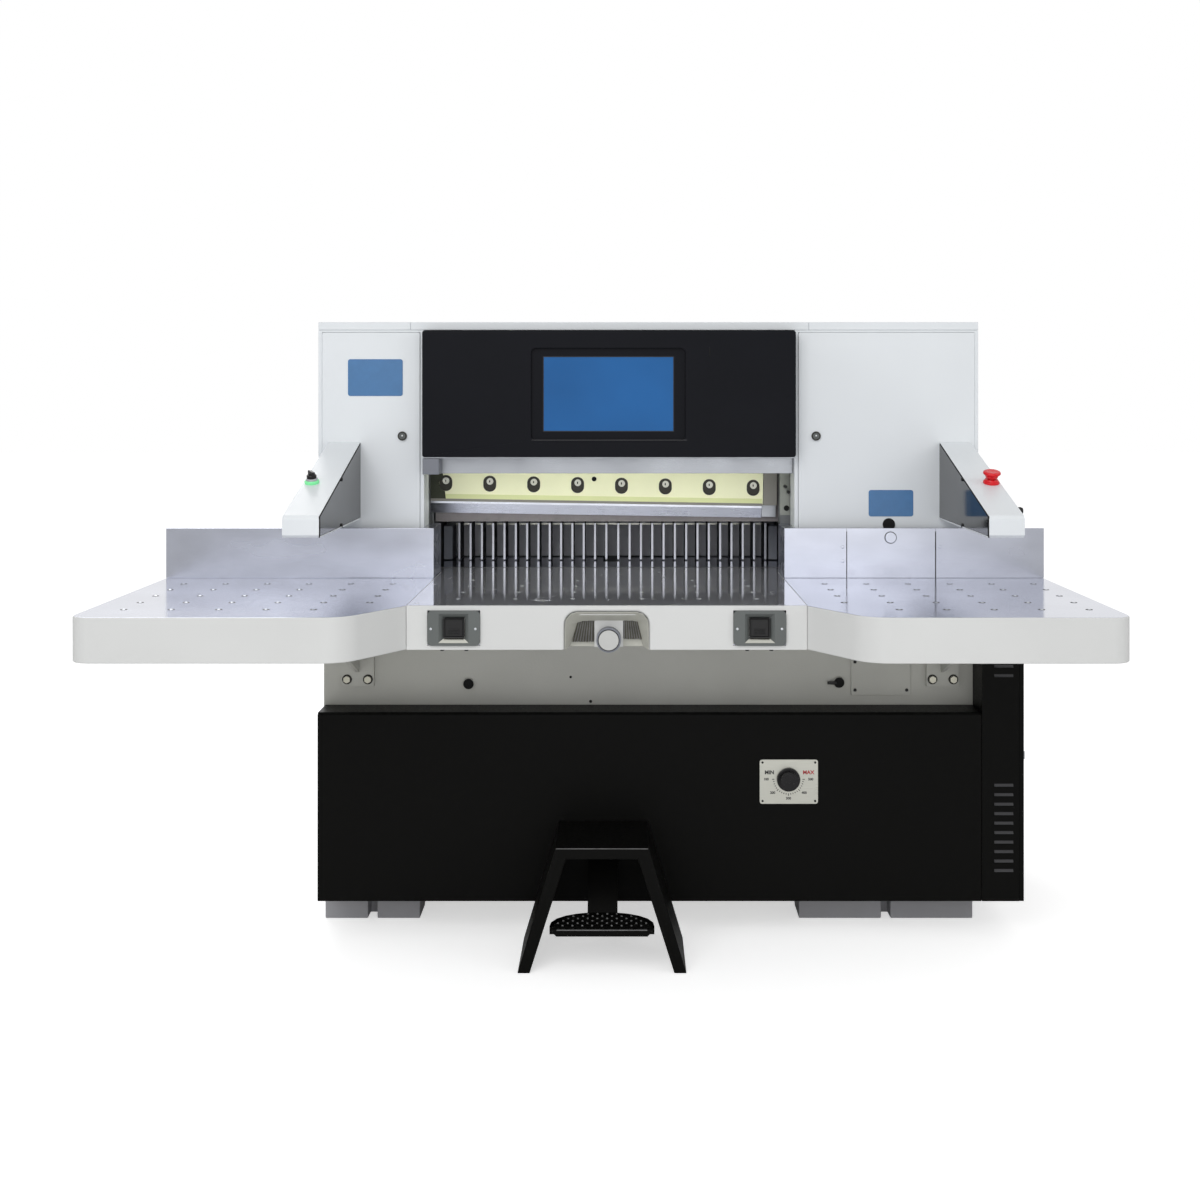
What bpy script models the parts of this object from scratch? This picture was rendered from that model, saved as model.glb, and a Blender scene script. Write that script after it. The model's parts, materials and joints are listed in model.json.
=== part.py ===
"""Industrial paper cutter with a programmable backgauge, as separate pieces.

Metres, +Z up, the front of the machine towards -Y. All pieces are drawn about
one datum: X is zero at the middle of the cut, Y is zero at the front plane of
the column covers and Z is zero on the floor. The datum is an empty, set so
that the whole machine stands centred on the world's origin.
"""

import math

import bmesh
import bpy
from mathutils import Matrix, Vector

# Shared fits
GAP = 0.0003
OVERRUN = 0.010
ROUND_STEPS = 24
SMALL_STEPS = 12
CORNER_STEPS = 4
SHARP_ANGLE = math.radians(35)

# Driving sizes of the whole machine
TABLE_HEIGHT = 0.900
TOWER_RISE = 0.635
TOWER_DEPTH = 0.520
THROAT_HALF = 0.4628
LEFT_COLUMN = 0.2652
RIGHT_COLUMN = 0.4607
TABLE_FRONT = -0.513
SIDE_TABLE_STEP = 0.164
REAR_END = 1.373
LEFT_REACH_SET = 0.367
RIGHT_REACH_SET = 0.1515

# Feet
FOOT_HEIGHT = 0.090
FOOT_FRONT = 0.122
FOOT_REAR_SET = 0.060
FOOT_PAD = 0.014
FOOT_PAD_STEP = 0.016
LEFT_FOOT_WIDTH = 0.245
LEFT_FOOT_SET = 0.0272
RIGHT_FOOT_WIDTH = 0.449
RIGHT_FOOT_SET = 0.0262
FOOT_NOTCH = 0.024
FOOT_NOTCH_HEIGHT = 0.052
FOOT_NOTCH_DEPTH = 0.090

# Bed casting
BED_LEFT_SET = 0.0025
BED_RIGHT_SET = 0.0055
BED_FRONT = 0.083
BED_REAR_SET = 0.230
BED_WALL = 0.022
DECK_THICK = 0.030
TABLE_THICK = 0.040
BED_SLOT_HALF = 0.0603
BED_SLOT_FRONT = 0.1247

# Base cover, black sheet
BASE_LEFT_SET = 0.001
BASE_RIGHT_SET = 0.0045
BASE_FRONT = -0.012
BASE_DROP = 0.339
BASE_FLAT = 0.006
BASE_LIFT = 0.001
SHEET = 0.003

# Electric cabinet on the right
CABINET_WIDTH = 0.1045
CABINET_REAR_SET = 0.150
CABINET_DROP = 0.100
DOOR_THICK = 0.012
LOUVRE_PITCH = 0.0236
LOUVRE_COUNT = 10
LOUVRE_HEIGHT = 0.009
LOUVRE_PROUD = 0.004
LOUVRE_INSET = 0.030
LOUVRE_LOW = 0.165
UPPER_LOUVRES = 2
UPPER_LOUVRE_DROP = 0.150
HINGE_RADIUS = 0.008
HINGE_LENGTH = 0.060
HINGE_PIN_RADIUS = 0.003
LATCH_RADIUS = 0.012
LATCH_WING = 0.016
LATCH_THICK = 0.006
LATCH_SHAFT = 0.004
LATCH_INSET = 0.040

# Column uprights and cross beam, cast iron
UPRIGHT_WIDTH = 0.2165
UPRIGHT_FRONT = 0.1905
UPRIGHT_REAR_SET = 0.060
UPRIGHT_TOP_SET = 0.035
UPRIGHT_WALL = 0.030
BEAM_HEIGHT = 0.180
BEAM_TOP_SET = 0.115
BEAM_WALL = 0.030
BEAM_POCKET_FRONT = 0.300
BEAM_FRONT = 0.195

# Knife, knife beam and its drive
KNIFE_FACE = 0.150
KNIFE_BEAM_LEFT_SET = 0.1372
KNIFE_BEAM_RIGHT_SET = 0.0628
KNIFE_BEAM_RISE = 0.174
KNIFE_BEAM_HEIGHT = 0.156
KNIFE_BEAM_LIP = 0.025
KNIFE_BEAM_THICK = 0.0375
KNIFE_HEIGHT = 0.120
KNIFE_THICK = 0.0125
KNIFE_LEFT_SET = 0.040
KNIFE_EDGE_DROP = 0.037
KNIFE_BEVEL_HEIGHT = 0.026
KNIFE_EDGE_FLAT = 0.0008
KNIFE_TILT = math.radians(0.9)
KNIFE_SIDE_TRAVEL = 0.075
BOLT_COUNT = 8
BOLT_LEFT_SET = 0.174
BOLT_RIGHT_SET = 0.0252
BOLT_HEIGHT = 0.043
BOLT_SLOT_WIDTH = 0.034
BOLT_SLOT_HEIGHT = 0.042
BOLT_RADIUS = 0.0105
BOLT_HEAD = 0.012
PIVOT_X = -0.026
PIVOT_DROP = 0.035
PIVOT_RADIUS = 0.010
ROD_Y = 0.1125
ROD_RADIUS = 0.015
ROD_END_SET = 0.005
EYE_RADIUS = 0.022
EYE_FRONT_SET = 0.0125
CYLINDER_RADIUS = 0.033
CYLINDER_START = 0.045
CYLINDER_LENGTH = 0.235
CYLINDER_CAP = 0.010
CYLINDER_LUG_WIDTH = 0.070
CYLINDER_LUG_HEIGHT = 0.060
CYLINDER_LUG_SET = 0.010

# Gibs that hold the knife beam against the uprights
GIB_FRONT = 0.100
GIB_RISE = 0.090
GIB_TOP_SET = 0.135
GIB_RETURN = 0.045
LEFT_GIB_INNER_SET = 0.0037
LEFT_GIB_OUTER_SET = 0.1972
RIGHT_GIB_INNER_SET = 0.0243
RIGHT_GIB_OUTER_SET = 0.0972

# Clamp
CLAMP_SIDE_GAP = 0.0038
CLAMP_FRONT_GAP = 0.0027
CLAMP_DEPTH = 0.0715
CLAMP_LIFT = 0.120
CLAMP_HEIGHT = 0.145
CLAMP_SLOT_SIDE = 0.002
CLAMP_LIP = 0.006
CLAMP_SLOT_HEIGHT = 0.105
CLAMP_ROD_SET = 0.1828
CLAMP_ROD_Y = 0.240
CLAMP_ROD_RADIUS = 0.020
CLAMP_ROD_TOP_SET = 0.008
CLAMP_CYLINDER_RADIUS = 0.0347
CLAMP_CYLINDER_RISE = 0.085
CLAMP_FLANGE_RADIUS = 0.050
CLAMP_FLANGE_THICK = 0.015

# Backgauge
COMB_FRONT = 0.341
COMB_CENTRE = 0.005
COMB_SIDE_GAP = 0.0035
COMB_CENTRE_GAP = 0.0326
TOOTH_THICK = 0.006
TOOTH_PITCH = 0.031
TOOTH_LENGTH = 0.095
COMB_BACK = 0.030
COMB_LIFT = 0.0025
COMB_HEIGHT = 0.100
CARRIAGE_HALF = 0.090
CARRIAGE_LENGTH = 0.094
CARRIAGE_HEIGHT = 0.075
ARM_HALF = 0.017
ARM_LENGTH = 0.040
NUT_HALF = 0.035
NUT_LENGTH = 0.060
SCREW_RADIUS = 0.016
SCREW_DROP = 0.085
SCREW_FRONT = 0.258
SCREW_END = 0.012
COUPLING_LENGTH = 0.020
MOTOR_HALF = 0.042
CHANNEL_HALF = 0.060
CHANNEL_WALL = 0.010
CHANNEL_HEIGHT = 0.100
CHANNEL_FRONT = 0.125
CHANNEL_END_SET = 0.073
SLOT_HALF = 0.020
SLOT_FRONT = 0.315
SLOT_REAR_SET = 0.068

# Tables and cutting stick
STICK_WIDTH = 0.0144
STICK_HEIGHT = 0.014
STICK_FRONT = 0.1743
APRON_HEIGHT = 0.094
APRON_THICK = 0.008
MAIN_TABLE_SET = 0.0331
MAIN_TABLE_DECK = 0.030
MAIN_TABLE_WALL = 0.012
SIDE_TABLE_DECK = 0.014
SIDE_TABLE_WALL = 0.008
SIDE_TABLE_SHOULDER = 0.105
SIDE_TABLE_CORNER = 0.040
SHOULDER_RADIUS = 0.090
HOOD_RISE = 0.160
REAR_POCKET_HALF = 0.085
REAR_POCKET_FRONT = 0.235
REAR_TABLE_WALL = 0.026
REAR_TABLE_DECK = 0.015

# Arch, handwheel and buttons on the front apron
ARCH_HALF = 0.0905
ARCH_HEIGHT = 0.0814
ARCH_RADIUS = 0.028
RECESS_DEPTH = 0.045
RECESS_WALL = 0.004
HANDWHEEL_X = 0.004
HANDWHEEL_RISE = 0.019
HANDWHEEL_RADIUS = 0.0266
HANDWHEEL_FACE = 0.0206
HANDWHEEL_DEPTH = 0.022
HANDWHEEL_SET = 0.006
HANDWHEEL_SHAFT = 0.006
HUB_WIDTH = 0.062
HUB_DEPTH = 0.012
BUTTON_SET_X = 0.1348
BUTTON_RISE = 0.0465
BUTTON_PLATE_WIDTH = 0.113
BUTTON_PLATE_HEIGHT = 0.075
BUTTON_PLATE_PROUD = 0.006
BUTTON_PLATE_CORNER = 0.010
BUTTON_PLATE_DEPTH = 0.020
BUTTON_WIDTH = 0.044
BUTTON_HEIGHT = 0.042
BUTTON_DEPTH = 0.018
BUTTON_SIDE_GAP = 0.001
BUTTON_TRAVEL = 0.004
BUTTON_SET = 0.004
BUTTON_CORNER = 0.004

# Fences
FENCE_FRONT = -0.0403
FENCE_THICK = 0.010
FENCE_HEIGHT = 0.123
FENCE_INNER_SET = 0.0293
FENCE_RETURN_END = 0.0990
FENCE_SEAM_SETS = (0.1242, 0.3442)
RIVET_RADIUS = 0.004
RIVET_PROUD = 0.0012
RIVET_DROPS = (0.046, 0.081)
RIVET_SIDE_SETS = (-0.010, 0.011)

# Table brackets
BRACKET_THICK = 0.010
BRACKET_DROP = 0.290
BRACKET_REACH = 0.340
BRACKET_TIP = 0.030
LEFT_BRACKET_SET = 0.0855
RIGHT_BRACKET_SET = 0.0735
BRACKET_WIDTH = 0.083
BRACKET_BOLT_RADIUS = 0.009
BRACKET_BOLT_HEAD = 0.007
BRACKET_BOLT_SET = 0.0267

# Column covers
CAP_HEIGHT = 0.020
COVER_RETURN = 0.087
COVER_REAR_RETURN = 0.045
COVER_FRONT = 0.003
PANEL_THICK = 0.014
PANEL_FRAME = 0.0105
PANEL_LIFT = 0.014
PANEL_TOP_SET = 0.006
PANEL_CLEAR = 0.0006
LEFT_SEAM_SET = 0.0342
RIGHT_SEAM_SET = 0.0362
SEAM_WIDTH = 0.0015
LOCK_SET = 0.0542
LOCK_DROP = 0.285
LOCK_RADIUS = 0.0115
LOCK_PROUD = 0.004
LOCK_BAR = 0.003
LOCK_SHAFT = 0.005
LOCK_CAM = 0.022
LOCK_CAM_THICK = 0.004
REAR_COVER_THICK = 0.020

# Head panel with its screen
HEAD_FRONT = -0.040
HEAD_REAR = 0.050
HEAD_RISE = 0.299
HEAD_TOP_SET = 0.023
HEAD_SIDE_GAP = 0.0006
HEAD_WALL = 0.004
HEAD_CORNER = 0.006
BEZEL_LEFT = -0.193
BEZEL_RIGHT = 0.189
BEZEL_HEIGHT = 0.230
BEZEL_SHIFT = -0.0018
BEZEL_DEPTH = 0.010
BEZEL_CORNER = 0.012
SCREEN_LEFT = -0.1635
SCREEN_RIGHT = 0.1606
SCREEN_HEIGHT = 0.186
SCREEN_SHIFT = -0.0005
SCREEN_DEPTH = 0.006
SCREEN_STEP = 0.002
TRIM_HEIGHT = 0.044
TRIM_FRONT = 0.030
TRIM_THICK = 0.012

# Light barrier arms
ARM_FRONT_SET = 0.023
ARM_RISE = 0.143
ARM_NOSE_HEIGHT = 0.0465
ARM_ROOT_HEIGHT = 0.1915
LEFT_ARM_SET = 0.026
LEFT_ARM_WIDTH = 0.080
RIGHT_ARM_SET = 0.0205
RIGHT_ARM_WIDTH = 0.077
ARM_EDGE = 0.006
WINDOW_MARGIN = 0.010
WINDOW_DEPTH = 0.002
CONTROL_Y = -0.286
CONTROL_INSET = 0.021
CONTROL_BASE_RADIUS = 0.0166
CONTROL_BASE_HEIGHT = 0.010
SELECTOR_RADIUS = 0.011
SELECTOR_HEIGHT = 0.008
SELECTOR_BAR = 0.006
SELECTOR_BAR_HEIGHT = 0.010
STOP_RADIUS = 0.020
STOP_STEM = 0.009
STOP_RISE = 0.006
STOP_CAP = 0.014
STOP_TRAVEL = 0.004

# Pedal and its guard
GUARD_FRONT = -0.234
GUARD_X = -0.0145
GUARD_TOP = 0.292
GUARD_TOP_HALF = 0.110
GUARD_LOW_HALF = 0.198
GUARD_SHEET = 0.004
GUARD_FLANGE = 0.0255
PEDAL_FRONT = -0.250
PEDAL_WIDTH = 0.249
PEDAL_LENGTH = 0.110
PEDAL_LOW = 0.092
PEDAL_THICK = 0.018
PEDAL_ARM_WIDTH = 0.072
PEDAL_ARM_THICK = 0.010
PEDAL_PIVOT_Y = -0.036
PEDAL_PIVOT_Z = 0.230
PEDAL_BOSS = 0.016
PEDAL_SHAFT = 0.008
PEDAL_EAR = 0.006
PEDAL_EAR_HALF_HEIGHT = 0.022
RIB_PITCH = 0.016
RIB_WIDTH = 0.007
RIB_HEIGHT = 0.002

# Pressure dial on the base cover
DIAL_SIDE_SET = 0.4816
DIAL_DROP = 0.1654
DIAL_PLATE_LEFT_SET = 0.0714
DIAL_PLATE_RIGHT_SET = 0.0736
DIAL_PLATE_LOW_SET = 0.061
DIAL_PLATE_HIGH_SET = 0.0488
DIAL_PLATE_THICK = 0.002
DIAL_PLATE_CORNER = 0.006
DIAL_RADIUS = 0.029
DIAL_HEIGHT = 0.024
DIAL_GRIP = 0.0225
DIAL_SHAFT = 0.004

# Small pieces on the bed front
SERVICE_SIDE_SET = 0.312
SERVICE_WIDTH = 0.152
SERVICE_DROP = 0.315
SERVICE_HEIGHT = 0.100
SERVICE_THICK = 0.004
PLUG_RADIUS = 0.014
PLUG_DEPTH = 0.008
PLUG_LEFT_SET = 0.3705
PLUG_LEFT_DROP = 0.285
PLUG_RIGHT_SET = 0.343
PLUG_RIGHT_DROP = 0.2815

# Drive pieces inside the bed
TANK_LEFT = -0.420
TANK_WIDTH = 0.520
TANK_DEPTH = 0.340
TANK_HEIGHT = 0.280
TANK_WALL = 0.008
TANK_FRONT = 0.220
PUMP_RADIUS = 0.075
PUMP_LENGTH = 0.260
PUMP_FLANGE = 0.012
DRIVE_UNIT_WIDTH = 0.052
DRIVE_UNIT_DEPTH = 0.300
DRIVE_UNIT_HEIGHT = 0.380
DRIVE_UNIT_RISE = 0.129

# Places worked out from the driving sizes
TOWER_HEIGHT = TABLE_HEIGHT + TOWER_RISE
TOWER_LEFT = -THROAT_HALF - LEFT_COLUMN
TOWER_RIGHT = THROAT_HALF + RIGHT_COLUMN
LEFT_REACH = TOWER_LEFT - LEFT_REACH_SET
RIGHT_REACH = TOWER_RIGHT + RIGHT_REACH_SET
SIDE_TABLE_FRONT = TABLE_FRONT - SIDE_TABLE_STEP
BED_LEFT = TOWER_LEFT - BED_LEFT_SET
BED_RIGHT = TOWER_RIGHT + BED_RIGHT_SET
BED_REAR = TOWER_DEPTH + BED_REAR_SET
BASE_LEFT = TOWER_LEFT + BASE_LEFT_SET
BASE_RIGHT = TOWER_RIGHT + BASE_RIGHT_SET
BASE_TOP = TABLE_HEIGHT - BASE_DROP
LEFT_FOOT_INNER = -THROAT_HALF - LEFT_FOOT_SET
RIGHT_FOOT_INNER = THROAT_HALF + RIGHT_FOOT_SET
CABINET_REAR = BED_REAR - CABINET_REAR_SET
CABINET_TOP = TABLE_HEIGHT - CABINET_DROP
UPPER_LOUVRE_LOW = CABINET_TOP - UPPER_LOUVRE_DROP
TABLE_UNDER = TABLE_HEIGHT - TABLE_THICK
BED_LOW = FOOT_HEIGHT + GAP
BED_TOP = TABLE_UNDER - GAP
APRON_LOW = TABLE_HEIGHT - APRON_HEIGHT
TABLE_REAR = STICK_FRONT - GAP
REAR_TABLE_FRONT = STICK_FRONT + STICK_WIDTH + GAP
MAIN_TABLE_HALF = THROAT_HALF - MAIN_TABLE_SET
BUTTON_X = THROAT_HALF - BUTTON_SET_X
HOOD_TOP = TABLE_HEIGHT + HOOD_RISE
FENCE_INNER = THROAT_HALF - FENCE_INNER_SET
FENCE_SEAMS = [THROAT_HALF + step for step in FENCE_SEAM_SETS]
RIVET_PLACES = [seam + step for seam, step in zip(FENCE_SEAMS, RIVET_SIDE_SETS)]
BRACKET_LOW = TABLE_HEIGHT - BRACKET_DROP
LEFT_BRACKET_X = TOWER_LEFT + LEFT_BRACKET_SET
RIGHT_BRACKET_X = TOWER_RIGHT - RIGHT_BRACKET_SET
SERVICE_LEFT = BED_RIGHT - SERVICE_SIDE_SET
SERVICE_LOW = TABLE_HEIGHT - SERVICE_DROP
PLUG_PLACES = {
    "left": (BED_LEFT + PLUG_LEFT_SET, TABLE_HEIGHT - PLUG_LEFT_DROP),
    "right": (BED_RIGHT - PLUG_RIGHT_SET, TABLE_HEIGHT - PLUG_RIGHT_DROP),
}
DIAL_X = BASE_RIGHT - DIAL_SIDE_SET
DIAL_Z = BASE_TOP - DIAL_DROP
SCREW_Z = TABLE_HEIGHT - SCREW_DROP
CHANNEL_END = REAR_END - CHANNEL_END_SET
SLOT_REAR = REAR_END - SLOT_REAR_SET
COMB_LOW = TABLE_HEIGHT + COMB_LIFT
COMB_BACK_FRONT = COMB_FRONT + TOOTH_LENGTH
COMB_REAR = COMB_BACK_FRONT + COMB_BACK
TOOTH_COUNT = int((THROAT_HALF - COMB_CENTRE - COMB_CENTRE_GAP / 2) / TOOTH_PITCH)
CLAMP_LOW = TABLE_HEIGHT + CLAMP_LIFT
CLAMP_TOP = CLAMP_LOW + CLAMP_HEIGHT
CLAMP_ROD_X = THROAT_HALF - CLAMP_ROD_SET
KNIFE_REAR = KNIFE_FACE + KNIFE_BEAM_LIP + GAP + KNIFE_THICK
CLAMP_FRONT = KNIFE_REAR + CLAMP_FRONT_GAP
KNIFE_BEAM_LEFT = -THROAT_HALF - KNIFE_BEAM_LEFT_SET
KNIFE_BEAM_RIGHT = THROAT_HALF - KNIFE_BEAM_RIGHT_SET
KNIFE_BEAM_LOW = TABLE_HEIGHT + KNIFE_BEAM_RISE
KNIFE_LEFT = KNIFE_BEAM_LEFT + KNIFE_LEFT_SET
KNIFE_RIGHT = KNIFE_BEAM_RIGHT
BOLT_FIRST = KNIFE_BEAM_LEFT + BOLT_LEFT_SET
BOLT_PITCH = (KNIFE_BEAM_RIGHT - BOLT_RIGHT_SET - BOLT_FIRST) / (BOLT_COUNT - 1)
PIVOT_Z = KNIFE_BEAM_LOW + KNIFE_BEAM_HEIGHT - PIVOT_DROP
ROD_LENGTH = CYLINDER_START + CYLINDER_LENGTH - CYLINDER_CAP - ROD_END_SET
UPRIGHT_REAR = TOWER_DEPTH - UPRIGHT_REAR_SET
UPRIGHT_TOP = TOWER_HEIGHT - UPRIGHT_TOP_SET
BEAM_HIGH = TOWER_HEIGHT - BEAM_TOP_SET
BEAM_LOW = BEAM_HIGH - BEAM_HEIGHT
CLAMP_ROD_TOP = BEAM_HIGH + CLAMP_CYLINDER_RISE - CYLINDER_CAP - CLAMP_ROD_TOP_SET
CLAMP_ROD_LENGTH = CLAMP_ROD_TOP - CLAMP_TOP + SHEET
GIB_LOW = TABLE_HEIGHT + GIB_RISE
GIB_HIGH = TOWER_HEIGHT - GIB_TOP_SET
GIB_X = {
    "left": (-THROAT_HALF - LEFT_GIB_INNER_SET, -THROAT_HALF - LEFT_GIB_OUTER_SET, 1),
    "right": (THROAT_HALF - RIGHT_GIB_INNER_SET, THROAT_HALF + RIGHT_GIB_OUTER_SET, -1),
}
CYLINDER_LUG_HIGH = BEAM_HIGH - CYLINDER_LUG_SET
CYLINDER_LUG_LOW = CYLINDER_LUG_HIGH - CYLINDER_LUG_HEIGHT
COVER_LOW = TABLE_HEIGHT + GAP
COVER_TOP = TOWER_HEIGHT - CAP_HEIGHT - GAP
PANEL_LOW = TABLE_HEIGHT + PANEL_LIFT
LEFT_SEAM = -THROAT_HALF - LEFT_SEAM_SET
RIGHT_SEAM = THROAT_HALF + RIGHT_SEAM_SET
LOCK_X = THROAT_HALF + LOCK_SET
LOCK_Z = TOWER_HEIGHT - LOCK_DROP
HEAD_LOW = TABLE_HEIGHT + HEAD_RISE
HEAD_HIGH = TOWER_HEIGHT - HEAD_TOP_SET
HEAD_HALF = THROAT_HALF - HEAD_SIDE_GAP
HEAD_MIDDLE = (HEAD_LOW + HEAD_HIGH) / 2
BEZEL_LOW = HEAD_MIDDLE + BEZEL_SHIFT - BEZEL_HEIGHT / 2
BEZEL_HIGH = BEZEL_LOW + BEZEL_HEIGHT
SCREEN_LOW = HEAD_MIDDLE + SCREEN_SHIFT - SCREEN_HEIGHT / 2
SCREEN_HIGH = SCREEN_LOW + SCREEN_HEIGHT
TRIM_LOW = HEAD_LOW - TRIM_HEIGHT
ARM_FRONT_Y = TABLE_FRONT + ARM_FRONT_SET
ARM_LOW = TABLE_HEIGHT + ARM_RISE
ARM_NOSE_HIGH = ARM_LOW + ARM_NOSE_HEIGHT
ARM_TOP = ARM_LOW + ARM_ROOT_HEIGHT
LEFT_ARM_OUTER = TOWER_LEFT + LEFT_ARM_SET
LEFT_ARM_INNER = LEFT_ARM_OUTER + LEFT_ARM_WIDTH
RIGHT_ARM_OUTER = TOWER_RIGHT - RIGHT_ARM_SET
RIGHT_ARM_INNER = RIGHT_ARM_OUTER - RIGHT_ARM_WIDTH
CENTRE_X = (LEFT_REACH + RIGHT_REACH) / 2
CENTRE_Y = (SIDE_TABLE_FRONT + REAR_END) / 2

for leftover in list(bpy.data.objects):
    bpy.data.objects.remove(leftover, do_unlink=True)

datum = bpy.data.objects.new("machine_datum", None)
datum.location = (-CENTRE_X, -CENTRE_Y, 0)
bpy.context.scene.collection.objects.link(datum)


def linear(value):
    """One sRGB channel, 0 to 1, as linear light."""
    return value / 12.92 if value <= 0.04045 else ((value + 0.055) / 1.055) ** 2.4


def finish(name, colour, metallic, roughness):
    """A Principled material with the colour given as a hex string."""
    made = bpy.data.materials.new(name)
    made.use_nodes = True
    shader = made.node_tree.nodes["Principled BSDF"]
    parts = [int(colour[i : i + 2], 16) / 255 for i in (0, 2, 4)]
    shader.inputs["Base Color"].default_value = (*map(linear, parts), 1)
    shader.inputs["Metallic"].default_value = metallic
    shader.inputs["Roughness"].default_value = roughness
    return made


FINISHES = {
    "white_enamel": finish("white_enamel", "DEE2E5", 0, 0.35),
    "apron_enamel": finish("apron_enamel", "D6D7D7", 0, 0.4),
    "grey_enamel": finish("grey_enamel", "8E8E86", 0, 0.5),
    "black_enamel": finish("black_enamel", "161614", 0, 0.45),
    "head_plastic": finish("head_plastic", "1E1F24", 0, 0.35),
    "screen_blue": finish("screen_blue", "2D69AA", 0, 0.2),
    "dark_window": finish("dark_window", "101114", 0, 0.05),
    "polished_steel": finish("polished_steel", "C8CBDA", 1, 0.12),
    "brushed_steel": finish("brushed_steel", "B9BBBD", 1, 0.35),
    "knife_steel": finish("knife_steel", "CFD6E0", 1, 0.2),
    "knife_beam_enamel": finish("knife_beam_enamel", "EBF0B4", 0, 0.4),
    "cast_iron": finish("cast_iron", "6A6C6E", 0.4, 0.6),
    "button_plastic": finish("button_plastic", "5F6262", 0, 0.5),
    "black_plastic": finish("black_plastic", "0E0E0F", 0, 0.4),
    "red_plastic": finish("red_plastic", "C3141C", 0, 0.35),
    "green_lens": finish("green_lens", "35D04A", 0, 0.2),
    "rubber": finish("rubber", "141414", 0, 0.9),
    "dial_plate": finish("dial_plate", "D8DADB", 0.6, 0.35),
    "stick_plastic": finish("stick_plastic", "E8E6DC", 0, 0.5),
    "pump_blue": finish("pump_blue", "3E5A78", 0, 0.5),
}


def finished(name, bm, look):
    """Turns a bmesh into an object under the datum. With no look it is a helper, left out of the model."""
    bmesh.ops.recalc_face_normals(bm, faces=bm.faces)
    mesh = bpy.data.meshes.new(name)
    bm.to_mesh(mesh)
    bm.free()
    made = bpy.data.objects.new(name, mesh)
    made.parent = datum
    bpy.context.scene.collection.objects.link(made)
    if look is None:
        made.hide_render = True
        made.display_type = "WIRE"
        return made
    mesh.materials.append(FINISHES[look])
    mesh.shade_smooth()
    mesh.set_sharp_from_angle(angle=SHARP_ANGLE)
    return made


def block(name, x, y, z, look=None, edge=0.0):
    """A box between two X, two Y and two Z places, with its edges bevelled by edge."""
    bm = bmesh.new()
    size = Vector((x[1] - x[0], y[1] - y[0], z[1] - z[0]))
    middle = Vector((x[0] + x[1], y[0] + y[1], z[0] + z[1])) / 2
    bmesh.ops.create_cube(bm, matrix=Matrix.Translation(middle) @ Matrix.Diagonal((*size, 1)))
    if edge:
        bmesh.ops.bevel(bm, geom=bm.edges[:], offset=edge, segments=2, profile=0.5, affect="EDGES")
    return finished(name, bm, look)


def add_prism(bm, outline, axis, start, end):
    """Adds an outline drawn across an axis and extruded along it from start to end."""
    order = {"X": (2, 0, 1), "Y": (0, 2, 1), "Z": (0, 1, 2)}[axis]

    def place(u, v, along):
        flat = (u, v, along)
        return Vector(flat[i] for i in order)

    low = [bm.verts.new(place(u, v, start)) for u, v in outline]
    high = [bm.verts.new(place(u, v, end)) for u, v in outline]
    bm.faces.new(low)
    bm.faces.new(high)
    for i in range(len(outline)):
        j = (i + 1) % len(outline)
        bm.faces.new((low[i], low[j], high[j], high[i]))


def prism(name, outlines, axis, start, end, look=None):
    """One object from one outline, or a helper from several, extruded along an axis."""
    bm = bmesh.new()
    for outline in outlines:
        add_prism(bm, outline, axis, start, end)
    return finished(name, bm, look)


def turned(name, profile, place, direction, look=None, steps=ROUND_STEPS):
    """A profile of (radius, distance) points turned about a line through place along direction."""
    bm = bmesh.new()
    points = [bm.verts.new((radius, 0, along)) for radius, along in profile]
    pairs = zip(points, points[1:])
    if profile[0][0] or profile[-1][0]:
        pairs = zip(points, points[1:] + points[:1])
    edges = [bm.edges.new(pair) for pair in pairs]
    bmesh.ops.spin(
        bm, geom=points + edges, axis=(0, 0, 1), cent=(0, 0, 0), angle=math.tau, steps=steps, use_merge=True
    )
    bmesh.ops.remove_doubles(bm, verts=bm.verts, dist=0.00001)
    centres = [vert for vert in bm.verts if vert.co.xy.length < 0.00001]
    bmesh.ops.dissolve_verts(bm, verts=centres)
    turn = Vector((0, 0, 1)).rotation_difference(Vector(direction)).to_matrix()
    bmesh.ops.rotate(bm, verts=bm.verts, matrix=turn)
    made = finished(name, bm, look)
    made.location = place
    return made


def disc(name, radius, place, direction, length, look=None, steps=ROUND_STEPS):
    """A plain cylinder from place, along direction."""
    return turned(name, [(0, 0), (radius, 0), (radius, length), (0, length)], place, direction, look, steps)


def cut(target, *tools):
    """Takes the tools' shapes out of the target."""
    for tool in tools:
        step = target.modifiers.new("cut_" + tool.name, "BOOLEAN")
        step.operation = "DIFFERENCE"
        step.object = tool
    return target


def fuse(target, *tools):
    """Adds the tools' shapes to the target, as one solid."""
    for tool in tools:
        step = target.modifiers.new("fuse_" + tool.name, "BOOLEAN")
        step.operation = "UNION"
        step.object = tool
    return target


def pivot(piece, place):
    """Puts a piece's origin on its joint axis, with the shape left where it is."""
    shift = Vector(place) - piece.location
    piece.data.transform(Matrix.Translation(-shift))
    piece.location = place
    return piece


def arc(x, z, radius, start, end, steps=CORNER_STEPS):
    """Points along an arc, with its angles in degrees."""
    angles = [math.radians(start + (end - start) * i / steps) for i in range(steps + 1)]
    return [(x + radius * math.cos(a), z + radius * math.sin(a)) for a in angles]


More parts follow.
